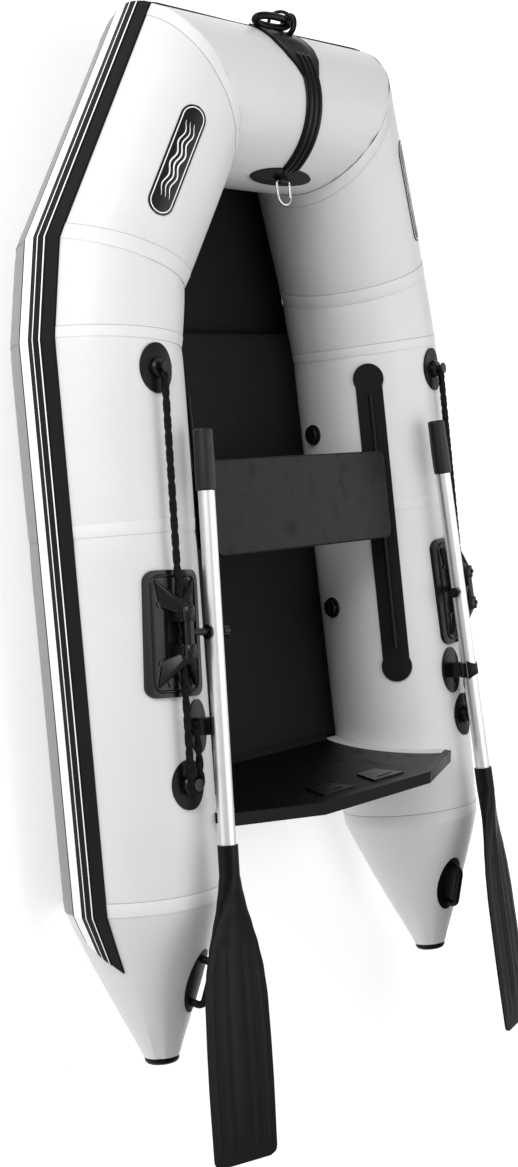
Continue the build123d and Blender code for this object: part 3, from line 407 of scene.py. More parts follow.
for name, (group, values) in finishes.items():
    specular = shine["pale"] if name in paleFinishes else shine["dark"]
    if name in ("plastic", "gripRubber"):
        specular = shine["moulded"]
    metallic = 1.0 if group == metalGroup else 0.0
    coat = shine["coat"] if name == "tube" else 0.0
    materials[name] = makeMaterial(name, group, values, metallic, coat, specular)


# Gives a new piece its finishes, its body and the CAD nodes it stands for.
def place(made, body, slotName, *names, replaced=()):
    for name in names:
        made.data.materials.append(materials[name])
    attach(made, body)
    if replaced:
        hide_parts(*replaced)
    return made


print("stage: lifelines")
rope = {
    "radius": 0.0080, "height": 0.0222, "angle": 82.0,
    "fore": 0.4139, "leave": 0.10, "aft": -0.449, "stretch": 0.060, "tail": -0.3028,  # along the boat
    "leaveShift": 0.006, "meetShift": 0.0125, "turn": 0.016, "backShift": -0.0133,  # across the tube
    "pitch": 0.034, "step": 0.0016, "around": 20,
    "core": 0.62, "strand": 0.38, "strandSharpness": 2.2, "strandOffset": 0.8,
}


def ropePoint(x, side, sideways):
    panel = panels["side_port" if side == 1 else "side_starboard"]
    along = (x - panel["start"].x) / panel["axis"].x
    angle = math.radians(rope["angle"])
    level = math.radians(rope["angle"] - 90)
    shift = Vector((0, math.cos(level) * side, math.sin(level))) * sideways
    return panelPoint(panel, angle, along, rope["height"]) + shift


# A rope laid along its NURBS route, its strands crossing over and under.
def braidedLine(word, side):
    ease = rope["aft"] + rope["stretch"]
    route = [
        ropePoint(rope["fore"], side, 0), ropePoint(rope["leave"], side, rope["leaveShift"]),
        ropePoint(ease, side, rope["meetShift"]),
        ropePoint(rope["aft"], side, rope["turn"]), ropePoint(rope["aft"], side, -rope["turn"]),
        ropePoint(ease, side, rope["backShift"]), ropePoint(rope["tail"], side, rope["backShift"]),
    ]
    data = bpy.data.curves.new(f"route_{word}", "CURVE")
    data.dimensions = "3D"
    data.resolution_u = 60
    spline = data.splines.new("NURBS")
    spline.points.add(len(route) - 1)
    for point, spot in zip(spline.points, route):
        point.co = (*spot, 1)
    spline.order_u = 3
    spline.use_endpoint_u = True
    guide = bpy.data.objects.new(f"route_{word}", data)
    scene.collection.objects.link(guide)
    path = [vertex.co.copy() for vertex in evaluatedMesh(guide).vertices]
    bpy.data.objects.remove(guide)
    total = sum((b - a).length for a, b in zip(path, path[1:]))
    # Stations at even steps along the route.
    stations, step, walked = [path[0]], rope["step"], 0.0
    for a, b in zip(path, path[1:]):
        span = (b - a).length
        while len(stations) * step < walked + span:
            stations.append(a.lerp(b, (len(stations) * step - walked) / span))
        walked += span
    points, count = [], rope["around"]
    upward = Vector((0, 0, 1))
    for index, spot in enumerate(stations):
        ahead = stations[min(index + 1, len(stations) - 1)] - stations[max(index - 1, 0)]
        across = ahead.cross(upward).normalized()
        lift = across.cross(ahead).normalized()
        twist = index * step / rope["pitch"] * math.tau
        for k in range(count):
            angle = math.tau * k / count
            one = abs(math.cos(angle + twist / 2))
            two = abs(math.cos(angle - twist / 2 + rope["strandOffset"]))
            strand = rope["strand"] * max(one, two) ** rope["strandSharpness"]
            radius = rope["radius"] * (rope["core"] + strand)
            points.append(spot + (across * math.cos(angle) + lift * math.sin(angle)) * radius)
    faces = gridFaces(len(stations), count, closed=True)
    faces += [tuple(range(count))[::-1], tuple(range(len(points) - count, len(points)))]
    made = smoothObject(f"braidedLine_{word}", points, faces)
    outwards(made)
    place(made, "hull", "rope", "cord", replaced=[f"lifeline_{word}"])
    return total


for word, side in sides.items():
    print("lifeline", word, round(braidedLine(word, side), 4))

print("stage: tubes")
tubes = {
    "around": 128, "along": 56, "pinch": 0.0022, "pinchWidth": 0.020, "pucker": 0.0013, "puckerWidth": 0.050,
    "folds": 5.5, "seed": 1.7, "bellyFrom": 255, "bellyTo": 352,
}
# How strongly the skin puckers at the two seams of each kind of panel.
sharpness = {
    "aft_side": (0.4, 0.3), "fore_side": (0.3, 1.0), "shoulder": (1.0, 1.3), "bow_side": (1.3, 2.2),
    "bow": (2.2, 2.2),
}


# How far the skin draws in beside a seam.
def seamShape(angle, distance, sharp):
    pinch = tubes["pinch"] * math.exp(-distance / tubes["pinchWidth"])
    folds = tubes["folds"]
    fold = noise.noise(Vector((math.cos(angle) * folds, math.sin(angle) * folds, tubes["seed"])))
    return pinch + sharp * tubes["pucker"] * fold * math.exp(-distance / tubes["puckerWidth"])


def skinPoint(panel, angle, along, begin, end, sharp, height=0.0):
    inward = seamShape(angle, along - begin, sharp[0]) + seamShape(angle, end - along, sharp[1])
    return panelPoint(panel, angle, along, height - inward)


# Whether a column of a tube's grid lies in the darker grey band that runs from under the rub strake round the
# underside.
def onBelly(column):
    return tubes["bellyFrom"] < 360 * (column + 0.5) / tubes["around"] < tubes["bellyTo"]


def tubeSkin(name, sharp):
    panel = panels[name]
    points = []
    rows, columns = tubes["along"], tubes["around"]
    for row in range(rows):
        share = 0.5 - 0.5 * math.cos(math.pi * row / (rows - 1))
        for column in range(columns):
            angle = math.tau * column / columns
            _, begin, end = panelReach(panel, angle)
            points.append(skinPoint(panel, angle, begin + (end - begin) * share, begin, end, sharp))
    indices = [int(onBelly(column)) for column in range(columns)] * (rows - 1)
    made = smoothObject(f"skin_{name}", points, gridFaces(rows, columns, closed=True), indices)
    outwards(made)
    return made


for name in panels:
    if name.startswith(("side_", "tail_cone")):
        continue
    made = tubeSkin(name, sharpness[name.split("_tube")[0]])
    place(made, "hull", "tube_fabric", "tube", "belly", replaced=[name])


tape = {
    "thick": 0.0009, "edge": 0.0016, "lift": 0.0001,
    # Each tape: its panel, the end it sits at, its width, and whether its edge step gets a painted shade
    # line.
    "seams": {
        "tapeStern": ("aft_side", "start", 0.030, True), "tapeMiddle": ("fore_side", "start", 0.026, False),
        "tapeShoulder": ("shoulder", "start", 0.024, True), "tapeBend": ("bow_side", "start", 0.034, True),
        "tapeCorner": ("bow_side", "end", 0.030, True),
    },
}


# Welded tape round one end of a panel, thinned out at its free edge; the sloping faces of that edge can take
# a darker grey that paints the step's shade.
def seamTape(name, panel, where, width, sharp, shadedEdge):
    points, indices, columns = [], [], tubes["around"]
    spots = [(0.0, tape["thick"]), (width - tape["edge"], tape["thick"]), (width, 0.0)]
    if where == "end":
        spots.reverse()
    for distance, height in spots:
        for column in range(columns):
            angle = math.tau * column / columns
            _, begin, end = panelReach(panel, angle)
            reach = end - distance if where == "end" else begin + distance
            points.append(skinPoint(panel, angle, reach, begin, end, sharp, height + tape["lift"]))
    for (_, height), (_, nextHeight) in zip(spots, spots[1:]):
        # Painted shade: the sloping faces of the tape's edge step take the darker grey seam material.
        top = 2 if shadedEdge and height != nextHeight else 0
        indices += [1 if onBelly(column) else top for column in range(columns)]
    made = smoothObject(name, points, gridFaces(len(spots), columns, closed=True), indices)
    outwards(made)
    return place(made, "hull", "tube_fabric", "tape", "belly", "seamEdgeShade")


for word in sides:
    for name, (kind, where, width, shadedEdge) in tape["seams"].items():
        panel = panels[f"{kind}_tube_{word}"]
        seamTape(f"{name}_{word}", panel, where, width, sharpness[kind], shadedEdge)


coneShape = {
    "rows": 64, "swell": 0.0030, "pinch": 0.0022, "pinchRate": 16, "ring": 0.0009, "ringFrom": 0.95,
    "folds": 4, "seed": 5.0, "drift": 1.2, "pucker": 0.0014, "puckerRate": 6, "ripple": 0.0006,
}


def conePoint(word, side, share, angle, lift):
    cone = panels[f"tail_cone_{word}"]
    radius = hull["tailRadius"] + (hull["tipRadius"] - hull["tailRadius"]) * share
    out = cone["level"] * math.cos(angle) + cone["up"] * math.sin(angle)
    return corner("stern", side).lerp(corner("coneTip", side), share) + out * (radius + lift)


# Tail cone with a slight swell and a welded ring near its cap.
def coneSkin(word, side):
    points, rows, columns = [], coneShape["rows"], tubes["around"]
    folds, rate = coneShape["folds"], coneShape["puckerRate"]
    for row in range(rows):
        share = row / (rows - 1)
        swell = coneShape["swell"] * math.sin(math.pi * share)
        swell -= coneShape["pinch"] * math.exp(-share * coneShape["pinchRate"])
        swell += coneShape["ring"] if share > coneShape["ringFrom"] else 0.0
        deep = coneShape["seed"] + share * coneShape["drift"]
        for column in range(columns):
            angle = math.tau * column / columns
            fold = noise.noise(Vector((math.cos(angle) * folds, math.sin(angle) * folds, deep)))
            lift = swell + coneShape["pucker"] * fold * math.exp(-abs(share - 1) * rate)
            points.append(conePoint(word, side, share, angle, lift + coneShape["ripple"] * fold))
    made = smoothObject(f"skin_tail_cone_{word}", points, gridFaces(rows, columns, closed=True))
    outwards(made)
    return place(made, "hull", "tube_fabric", "tube", replaced=[f"tail_cone_{word}"])


for word, side in sides.items():
    coneSkin(word, side)

print("stage: rub strakes")
# Each entry: angle over the tube, height above it in millimetres, and the colour up to the next entry.
belt = [
    (-19.6, 0.3, 0), (-19.2, 2.6, 0), (-16.9, 3.2, 0), (-16.7, 4.4, 1), (-12.0, 5.2, 1), (-7.3, 4.9, 0),
    (-7.0, 5.4, 0), (-6.7, 7.4, 0), (-2.9, 8.0, 0), (-2.85, 8.05, 1), (-2.1, 8.05, 0), (-2.0, 8.0, 0),
    (2.6, 7.8, 0), (2.7, 7.8, 1), (3.6, 7.6, 0), (4.1, 6.8, 0), (4.3, 5.2, 0), (9.0, 5.0, 0),
    (13.2, 4.6, 0), (13.6, 3.2, 0), (13.8, 0.3, 0),
]
strake = {
    "tail": 0.096, "slope": 0.115, "endHeight": 0.0003, "shut": 0.03, "blunt": 0.9,  # its end on the cone
    "tailRows": 8, "longRows": 60, "shortRows": 14, "frontRows": 16, "straighten": 1.3, "meet": 0.00008,
    "splitAngle": 28,
}


# The belt's slanted end on the tail cone, with its thickness closed off.
def strakeEnd(word, side, angles, heights):
    coneLength = (corner("coneTip", side) - corner("stern", side)).length
    rows, count = [], strake["tailRows"]
    for step in range(count):
        row = []
        for angle, height in zip(angles, heights):
            reach = strake["tail"] + math.sin(angle) * strake["slope"]
            share = reach * (1 - step / (count - 1)) / coneLength
            thick = height if step else strake["endHeight"]
            lift = thick + coneShape["swell"] * math.sin(math.pi * share)
            row.append(conePoint(word, side, share, angle, lift))
        rows.append(row)
    level = panels[f"tail_cone_{word}"]["level"]
    rows.insert(1, [first.lerp(second, strake["shut"]) + level * height * strake["blunt"]
                    for first, second, height in zip(rows[0], rows[1], heights)])
    return rows


def rubStrake(word, side):
    nominal = [math.radians(angle) for angle, _, _ in belt]
    heights = [height / 1000 for _, height, _ in belt]
    rows = strakeEnd(word, side, nominal, heights)
    runs = [panels[f"{kind}_{word}"] for kind in ("side", "shoulder_tube", "bow_side_tube")]
    starts = [runs[1]["start"], runs[2]["start"], corner("bow", side)]
    counts = [strake["longRows"], strake["shortRows"], strake["shortRows"]]
    angles = nominal
    for panel, following, start, count in zip(runs, runs[1:] + [panels["bow_tube"]], starts, counts):
        for step in range(count):
            share = step / (count - 1)
            row = []
            for angle, target, height in zip(angles, nominal, heights):
                angle += (target - angle) * share
                _, begin, end = panelReach(panel, angle)
                row.append(panelPoint(panel, angle, begin + (end - begin) * share, height))
            rows.append(row)
        # The next panel starts at the angles where this one ends.
        offsets = [point - start for point in rows[-1]]
        angles = [math.atan2(offset.dot(following["up"]), offset.dot(following["level"]))
                  for offset in offsets]
    lastRow, count = rows[-1], strake["frontRows"]
    for step in range(1, count):
        share = step / (count - 1)
        row = []
        for angle, target, height, last in zip(angles, nominal, heights, lastRow):
            angle += (target - angle) * min(1.0, share * strake["straighten"])
            row.append(bowPoint(angle, last.y + (strake["meet"] * side - last.y) * share, height))
        rows.append(row)
    points = [point for row in rows for point in row]
    colours = [colour for _, _, colour in belt[:-1]] * (len(rows) - 1)
    made = smoothObject(f"rubBelt_{word}", points, gridFaces(len(rows), len(belt)), colours)
    outwards(made)
    return made


for word, side in sides.items():
    made = rubStrake(word, side)
    place(made, "hull", "black_rubber", "rubber", "whiteRubber", replaced=[f"rub_strake_{word}"])
    split = made.modifiers.new("edges", "EDGE_SPLIT")
    split.split_angle = math.radians(strake["splitAngle"])

print("stage: bottom, deck and fabric trims")

softening = {"weld": 0.00005, "segments": 2, "factor": 0.5, "bevel": 0.0002}
deckShape = {"voxel": 0.007, "relax": 6, "ripple": 0.0012, "waves": (6, 9), "seed": 3.0}


# Fabric piece grown from its solid: remeshed or bevelled, then relaxed.
def softCopy(node, name, voxel=None, bevel=None, relax=0):
    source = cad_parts[node]
    made = bpy.data.objects.new(name, source.data.copy())
    scene.collection.objects.link(made)
    made.data.materials.clear()
    if voxel:
        remesh = made.modifiers.new("remesh", "REMESH")
        remesh.mode = "VOXEL"
        remesh.voxel_size = voxel
    if bevel:
        weld = made.modifiers.new("weld", "WELD")
        weld.merge_threshold = softening["weld"]
        rounding = made.modifiers.new("bevel", "BEVEL")
        rounding.width = bevel
        rounding.segments = softening["segments"]
        rounding.limit_method = "ANGLE"
    if relax:
        smooth = made.modifiers.new("relax", "SMOOTH")
        smooth.iterations = relax
        smooth.factor = softening["factor"]
    mesh = evaluatedMesh(made)
    made.modifiers.clear()
    made.data = mesh
    made.data.materials.clear()
    for polygon in mesh.polygons:
        polygon.use_smooth = bool(voxel)
    return made


deck = softCopy("floor_deck", "airDeck", voxel=deckShape["voxel"], relax=deckShape["relax"])
for vertex in deck.data.vertices:
    wavesX, wavesY = deckShape["waves"]
    ripple = noise.noise(Vector((vertex.co.x * wavesX, vertex.co.y * wavesY, deckShape["seed"])))
    vertex.co.z += deckShape["ripple"] * ripple
place(deck, "hull", "deck_fabric", "deck", replaced=["floor_deck"])
sheet = softCopy("bottom_skin", "bottomSheet", bevel=softening["bevel"])
for polygon in sheet.data.polygons:
    polygon.material_index = 1 if polygon.normal.z > 0.1 else 0
place(sheet, "hull", "belly_fabric", "belly", "deck", replaced=["bottom_skin"])
for node, name, finish, slotName in (
    ("transom_flanges", "boardFlanges", "tape", "flange_fabric"),
    ("floor_fillet", "deckFillet", "deck", "deck_fabric"),
    ("chamber_baffles", "innerBaffles", "tube", "tube_fabric"),
):
    place(softCopy(node, name, bevel=softening["bevel"]), "hull", slotName, finish, replaced=[node])

print("stage: rowlocks")
lock = {"centre": (-0.1218, 0.558, 0.386), "tilt": 10.5, "toe": 3.93, "arm": 0.070}


def lockFrame(side):
    toe, tilt = math.radians(lock["toe"]), math.radians(lock["tilt"])
    forward = Vector((math.cos(toe), -side * math.sin(toe), 0))
    inboard = Vector((-math.sin(toe), -side * math.cos(toe), 0))
    pin = inboard * math.cos(tilt) + Vector((0, 0, math.sin(tilt)))
    off = inboard * -math.sin(tilt) + Vector((0, 0, math.cos(tilt)))
    x, y, z = lock["centre"]
    return Vector((x, y * side, z)), forward, pin, off


# Round bar along a list of points; a tuple of radii gives one for each point.
def sweptTube(name, path, radius, around=12, closed=False):
    data = bpy.data.curves.new(name, "CURVE")
    data.dimensions = "3D"
    data.bevel_depth = 1.0 if isinstance(radius, tuple) else radius
    data.bevel_resolution = max(1, around // 4 - 1)
    spline = data.splines.new("POLY")
    spline.points.add(len(path) - 1)
    for index, (point, spot) in enumerate(zip(spline.points, path)):
        point.co = (*spot, 1)
        point.radius = radius[index] if isinstance(radius, tuple) else 1.0
    spline.use_cyclic_u = closed
    data.use_fill_caps = not closed
    guide = bpy.data.objects.new(name, data)
    scene.collection.objects.link(guide)
    mesh = evaluatedMesh(guide)
    bpy.data.objects.remove(guide)
    made = bpy.data.objects.new(name, mesh)
    scene.collection.objects.link(made)
    for polygon in mesh.polygons:
        polygon.use_smooth = True
    return made


# One object from several.
def joined(name, parts):
    shape = bmesh.new()
    for part in parts:
        shape.from_mesh(part.data)
        bpy.data.objects.remove(part)
    mesh = bpy.data.meshes.new(name)
    shape.to_mesh(mesh)
    shape.free()
    for polygon in mesh.polygons:
        polygon.use_smooth = True
    made = bpy.data.objects.new(name, mesh)
    scene.collection.objects.link(made)
    return made


# Places on the pad are given along the boat and across it, from the hinge.
lockPad = {
    "length": 0.236, "width": 0.126, "round": 0.020, "sink": 0.03,
    "rimRadius": 0.0035, "rimHeight": 0.0072, "rimStep": 0.01,
    "ribs": 3, "ribRadius": 0.0022, "ribHeight": 0.0074, "ribPitch": 0.032, "ribFrom": 0.080,
    "ribLength": 0.030, "ribLean": 0.012,
    "rivet": (0.060, 0.045), "rivetHeight": 0.0068, "rivetRise": 0.0032, "rivetRadius": 0.0065,
}
gusset = {
    "corner": (0.106, 0.052), "inner": (0.072, 0.008), "outer": (0.058, 0.040), "height": 0.0085,
    "head": 0.044, "drop": 0.001, "cornerRadius": 0.003, "edgeRadius": 0.0045, "headRadius": 0.0125,
}
housing = {"near": 0.0245, "far": 0.0535, "round": 0.08, "endRadius": 0.0134, "radius": 0.0150, "around": 24}
boss = {"at": 0.039, "up": 0.0150, "sink": 0.004, "rise": 0.0022, "radius": 0.0052, "around": 16}


def roundedRectangle(length, width, radius, step=6):
    spots = []
    for cx, cy, start in ((1, 1, 0), (-1, 1, 90), (-1, -1, 180), (1, -1, 270)):
        for k in range(step + 1):
            angle = math.radians(start + 90 * k / step)
            spots.append((cx * (length / 2 - radius) + radius * math.cos(angle),
                          cy * (width / 2 - radius) + radius * math.sin(angle)))
    return spots


# Rounded solid around a few corners, each with its own radius.
def roundedWedge(corners):
    shape = bmesh.new()
    for spot, radius in corners:
        bmesh.ops.create_icosphere(shape, subdivisions=2, radius=radius, matrix=Matrix.Translation(spot))
    cover = bmesh.ops.convex_hull(shape, input=shape.verts)
    spare = {item for item in cover["geom_interior"] + cover["geom_unused"]
             if isinstance(item, bmesh.types.BMVert)}
    bmesh.ops.delete(shape, geom=list(spare), context="VERTS")
    mesh = bpy.data.meshes.new("wedge")
    shape.to_mesh(mesh)
    shape.free()
    made = bpy.data.objects.new("wedge", mesh)
    scene.collection.objects.link(made)
    return made


# Rim, ribs and rivets of the pad, with the gussets and housings that hold the hinge.
def lockDetail(word, side):
    centre, forward, pin, off = lockFrame(side)
    panel = panels[f"side_{word}"]

    def surface(f, p, height):
        spot = centre + forward * f + pin * p
        along = (spot - panel["start"]).dot(panel["axis"])
        hub = panel["start"] + panel["axis"] * along
        out = (spot + off * -lockPad["sink"] - hub).normalized()
        r0, r1 = panel["radii"]
        return hub + out * (r0 + (r1 - r0) * along / panel["length"] + height)

    loop, parts = [], []
    outline = roundedRectangle(lockPad["length"], lockPad["width"], lockPad["round"])
    for (fa, pa), (fb, pb) in zip(outline, outline[1:] + outline[:1]):
        steps = max(1, int(math.hypot(fb - fa, pb - pa) / lockPad["rimStep"]))
        for k in range(steps):
            f, p = fa + (fb - fa) * k / steps, pa + (pb - pa) * k / steps
            loop.append(surface(f, p, lockPad["rimHeight"]))
    parts.append(sweptTube("rim", loop, lockPad["rimRadius"], closed=True))
    for end in (-1, 1):
        for k in range(lockPad["ribs"]):
            p, lean = (k - 1) * lockPad["ribPitch"], lockPad["ribLean"]
            bar = [surface(end * (lockPad["ribFrom"] + lockPad["ribLength"] * t), p + lean * (t - 0.5),
                           lockPad["ribHeight"]) for t in (0, 0.33, 0.66, 1)]
            parts.append(sweptTube("rib", bar, lockPad["ribRadius"]))
        for across in (-1, 1):
            f, p = end * lockPad["rivet"][0], across * lockPad["rivet"][1]
            spot = surface(f, p, lockPad["rivetHeight"])
            out = (spot - surface(f, p, 0.0)).normalized()
            bar = [spot, spot + out * lockPad["rivetRise"]]
            parts.append(sweptTube("rivet", bar, lockPad["rivetRadius"]))
    for end in (-1, 1):
        for across in (-1, 1):
            corners = []
            for name in ("corner", "inner", "outer"):
                f, p = gusset[name]
                radius = "cornerRadius" if name == "corner" else "edgeRadius"
                corners.append((surface(end * f, across * p, gusset["height"]), gusset[radius]))
            head = centre + forward * end * gusset["head"] - off * gusset["drop"]
            parts.append(roundedWedge(corners + [(head, gusset["headRadius"])]))
        near, far = centre + forward * end * housing["near"], centre + forward * end * housing["far"]
        bar = [near, near.lerp(far, housing["round"]), near.lerp(far, 1 - housing["round"]), far]
        radii = (housing["endRadius"], housing["radius"], housing["radius"], housing["endRadius"])
        parts.append(sweptTube("housing", bar, radii, housing["around"]))
        spot = centre + forward * end * boss["at"] + off * boss["up"]
        bar = [spot - off * boss["sink"], spot + off * boss["rise"]]
        parts.append(sweptTube("bossRivet", bar, boss["radius"], boss["around"]))
    made = joined(f"lockRibs_{word}", parts)
    return place(made, "hull", "black_plastic", "plastic")


for word, side in sides.items():
    lockDetail(word, side)

print("stage: oars")
blade = {
    "socket": -0.438, "length": 0.645, "rib": 0.0055, "groove": 0.0016, "cornerRadius": 0.018,
    "widths": [(0, .0215), (.060, .0215), (.080, .027), (.126, .039), (.170, .054), (.210, .067),
               (.260, .079), (.320, .0855), (.420, .088), (.494, .0885), (.645, .086)],
    "depths": [(0, .0215), (.055, .0215), (.085, .0190), (.126, .0130), (.170, .0075), (.210, .0045),
               (.260, .0033), (.645, .0030)],
    "flatten": (0.09, 0.12), "ribStart": (0.10, 0.10), "grooveStart": (0.20, 0.03),  # where, and over how far
    "ribEnd": (0, 0.12), "grooveEnd": (0.02, 0.02),  # the same, from the tip
    "squareWide": 0.35, "squareTall": 0.72, "ribWidth": 0.0075, "grooveWidth": 0.0028,
    "grooves": (0.40, 0.80), "rows": 110, "around": 72, "splitAngle": 50,
}
easing = 0.4  # share of a table's step that is smoothed


# The value of a table at a place between its entries.
def easedValue(table, at):
    for (a, va), (b, vb) in zip(table, table[1:]):
        if at <= b:
            t = (at - a) / (b - a)
            t = t * t * (3 - 2 * t) * easing + t * (1 - easing)
            return va + (vb - va) * t
    return table[-1][1]


# Blade lofted from its round socket to a thin ribbed plate.
def bladeSkin(word, side):
    centre, forward, pin, off = lockFrame(side)
    origin = centre + pin * lock["arm"] + forward * blade["socket"]
    points, rows, columns, r = [], blade["rows"], blade["around"], blade["cornerRadius"]
    for row in range(rows):
        at = blade["length"] * row / (rows - 1)
        half, deep = easedValue(blade["widths"], at), easedValue(blade["depths"], at)
        left = blade["length"] - at
        if left < r:
            half -= r - math.sqrt(max(0.0, r * r - (r - left) ** 2))
        flat = ramp(at, *blade["flatten"])
        ribShare = ramp(at, *blade["ribStart"]) * ramp(left, *blade["ribEnd"])
        grooveShare = ramp(at, *blade["grooveStart"]) * ramp(left, *blade["grooveEnd"])
        for column in range(columns):
            angle = math.tau * column / columns
            c, s = math.cos(angle), math.sin(angle)
            wide = math.copysign(abs(c) ** (1 - blade["squareWide"] * flat), c)
            tall = math.copysign(abs(s) ** (1 - blade["squareTall"] * flat), s)
            y, z = half * wide, deep * tall
            rib = blade["rib"] * math.exp(-(y / blade["ribWidth"]) ** 2) * ribShare
            groove = sum(math.exp(-((abs(y) - share * half) / blade["grooveWidth"]) ** 2)
                         for share in blade["grooves"])
            z += math.copysign((rib - blade["groove"] * groove * grooveShare) * abs(tall) ** 3, tall)
            points.append(origin - forward * at - pin * y + off * z)
    faces = gridFaces(rows, columns, closed=True)
    faces.append(tuple(range(columns))[::-1])
    faces.append(tuple(range(len(points) - columns, len(points))))
    made = smoothObject(f"bladeSkin_{word}", points, faces)
    outwards(made)
    edges = made.modifiers.new("edges", "EDGE_SPLIT")
    edges.split_angle = math.radians(blade["splitAngle"])
    return place(made, f"oar_{word}", "black_plastic", "bladePlastic", replaced=[f"oar_blade_{word}"])


grip = {
    "back": 0.289, "front": 0.418, "radius": 0.0208, "endRound": 0.006, "collar": 0.0178, "lip": 0.003,
    "lipDrop": 0.0008, "swell": 0.0006, "endLift": 0.0001, "endRings": (0.008, 0.0005),
    "steps": 130, "around": 40,
}


# Rubber grip with a slight swell and a rounded end.
def gripSkin(word, side):
    centre, forward, pin, off = lockFrame(side)
    origin = centre + pin * lock["arm"]
    back, front, full, endRound = grip["back"], grip["front"], grip["radius"], grip["endRound"]
    points, columns, rows = [], grip["around"], []
    for k in range(grip["steps"] + 1):
        at = back + (front - back) * k / grip["steps"]
        radius = full
        left = front - at
        if left < endRound:
            radius = full - endRound + math.sqrt(max(0, endRound ** 2 - (endRound - left) ** 2))
        if k == 0:
            radius = grip["collar"]
        elif at < back + grip["lip"]:
            radius = full - grip["lipDrop"]
        else:
            radius += grip["swell"] * math.sin((at - back) / (front - back) * math.pi * 1.5)
        rows.append((at, radius))
    rows += [(front + grip["endLift"], radius) for radius in grip["endRings"]]
    for at, radius in rows:
        for column in range(columns):
            angle = math.tau * column / columns
            points.append(origin + forward * at + (pin * math.cos(angle) + off * math.sin(angle)) * radius)
    made = smoothObject(f"gripSkin_{word}", points, gridFaces(len(rows), columns, closed=True))
    outwards(made)
    return place(made, f"oar_{word}", "black_rubber", "gripRubber", replaced=[f"oar_grip_{word}"])


clip = {
    "at": -0.193, "wide": 0.023, "narrow": 0.0125, "radius": 0.0207, "inner": 0.0177, "edge": 0.001,
    "from": 6, "sweep": 168, "taper": 1.6, "columns": 36,
}


# Tapered rubber strap folded over the shaft where the clip holds it.
def clipStrap(word, side):
    centre, forward, pin, off = lockFrame(side)
    origin = centre + pin * lock["arm"] + forward * clip["at"]
    points, columns = [], clip["columns"]
    inner, top, edge = clip["inner"], clip["radius"], clip["radius"] - clip["edge"]
    section = ((1.0, inner), (1.0, edge), (0.9, top), (-0.9, top), (-1.0, edge), (-1.0, inner))
    for share, radius in section:
        for column in range(columns):
            t = column / (columns - 1)
            angle = math.radians(clip["from"] + clip["sweep"] * t)
            half = clip["narrow"] + (clip["wide"] - clip["narrow"]) * abs(2 * t - 1) ** clip["taper"]
            out = pin * math.cos(angle) + off * math.sin(angle)
            points.append(origin + forward * half * share + out * radius)
    made = smoothObject(f"clipStrap_{word}", points, gridFaces(len(section), columns))
    outwards(made)
    return place(made, f"oar_{word}", "black_plastic", "rubber")


for word, side in sides.items():
    bladeSkin(word, side)
    gripSkin(word, side)
clipStrap("starboard", sides["starboard"])

print("stage: name patches")
patch = {
    "along": 0.225, "angle": 70.0, "length": 0.255, "width": 0.060, "height": 0.00165, "foot": 0.0002,
    "inline": 0.0045, "line": 0.0022, "printLift": 0.00015, "waves": (-0.010, 0.0, 0.010), "waveReach": 0.088,
    "waveLength": 0.050, "waveHeight": 0.0035, "waveWidth": 0.0034, "columns": 60, "waveSteps": 64,
}


# Capsule on the bow with a light inline and three plain waves.
def patchDecal(word):
    panel = panels[f"bow_side_tube_{word}"]
    radius, halfWidth = hull["tubeRadius"], patch["width"] / 2
    straight = patch["length"] / 2 - halfWidth
    points, faces, indices = [], [], []

    def spot(u, v, height):
        return panelPoint(panel, math.radians(patch["angle"]) + v / radius, patch["along"] + u, height)

    def capsule(inset, count=20):
        r = halfWidth - inset
        ring = []
        for sign in (1, -1):
            for k in range(count + 1):
                angle = math.radians(-90 + 180 * k / count)
                ring.append((sign * (straight + r * math.cos(angle)), sign * r * math.sin(angle)))
        return ring

    def strip(first, second, height, index, closed):
        base = len(points)
        for (ua, va), (ub, vb) in zip(first, second):
            points.extend([spot(ua, va, height), spot(ub, vb, height)])
        count = len(first)
        for k in range(count if closed else count - 1):
            a, b = base + 2 * k, base + 2 * ((k + 1) % count)
            faces.append((a, a + 1, b + 1, b))
            indices.append(index)

    outer, foot, top = capsule(0), patch["foot"], patch["height"]
    for (ua, va), (ub, vb) in zip(outer, outer[1:] + outer[:1]):
        base = len(points)
        points.extend([spot(ua, va, foot), spot(ub, vb, foot), spot(ub, vb, top), spot(ua, va, top)])
        faces.append((base, base + 1, base + 2, base + 3))
        indices.append(0)
    columns = patch["columns"]
    for column in range(columns):
        base = len(points)
        for end in (column, column + 1):
            u = patch["length"] * (end / columns - 0.5)
            over = max(0.0, abs(u) - straight)
            half = math.sqrt(max(0.0, halfWidth ** 2 - over ** 2))
            points.extend(spot(u, half * (k / 4 - 1), top) for k in range(9))
        for k in range(8):
            faces.append((base + k, base + k + 1, base + 9 + k + 1, base + 9 + k))
            indices.append(0)
    printHeight = top + patch["printLift"]
    strip(capsule(patch["inline"]), capsule(patch["inline"] + patch["line"]), printHeight, 1, True)
    steps, reach = patch["waveSteps"], patch["waveReach"]
    for offset in patch["waves"]:
        first, second = [], []
        for k in range(steps + 1):
            u = 2 * reach * k / steps - reach
            v = offset + patch["waveHeight"] * math.sin(u / patch["waveLength"] * math.tau)
            thick = patch["waveWidth"] / 2 * math.sin(math.pi * k / steps) ** 0.5
            first.append((u, v - thick))
            second.append((u, v + thick))
        strip(first, second, printHeight, 1, False)
    return smoothObject(f"wavePatch_{word}", points, faces, indices)


for word in sides:
    place(patchDecal(word), "hull", "decal", "plastic", "whiteRubber")
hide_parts("badges")

print("stage: bow strap")
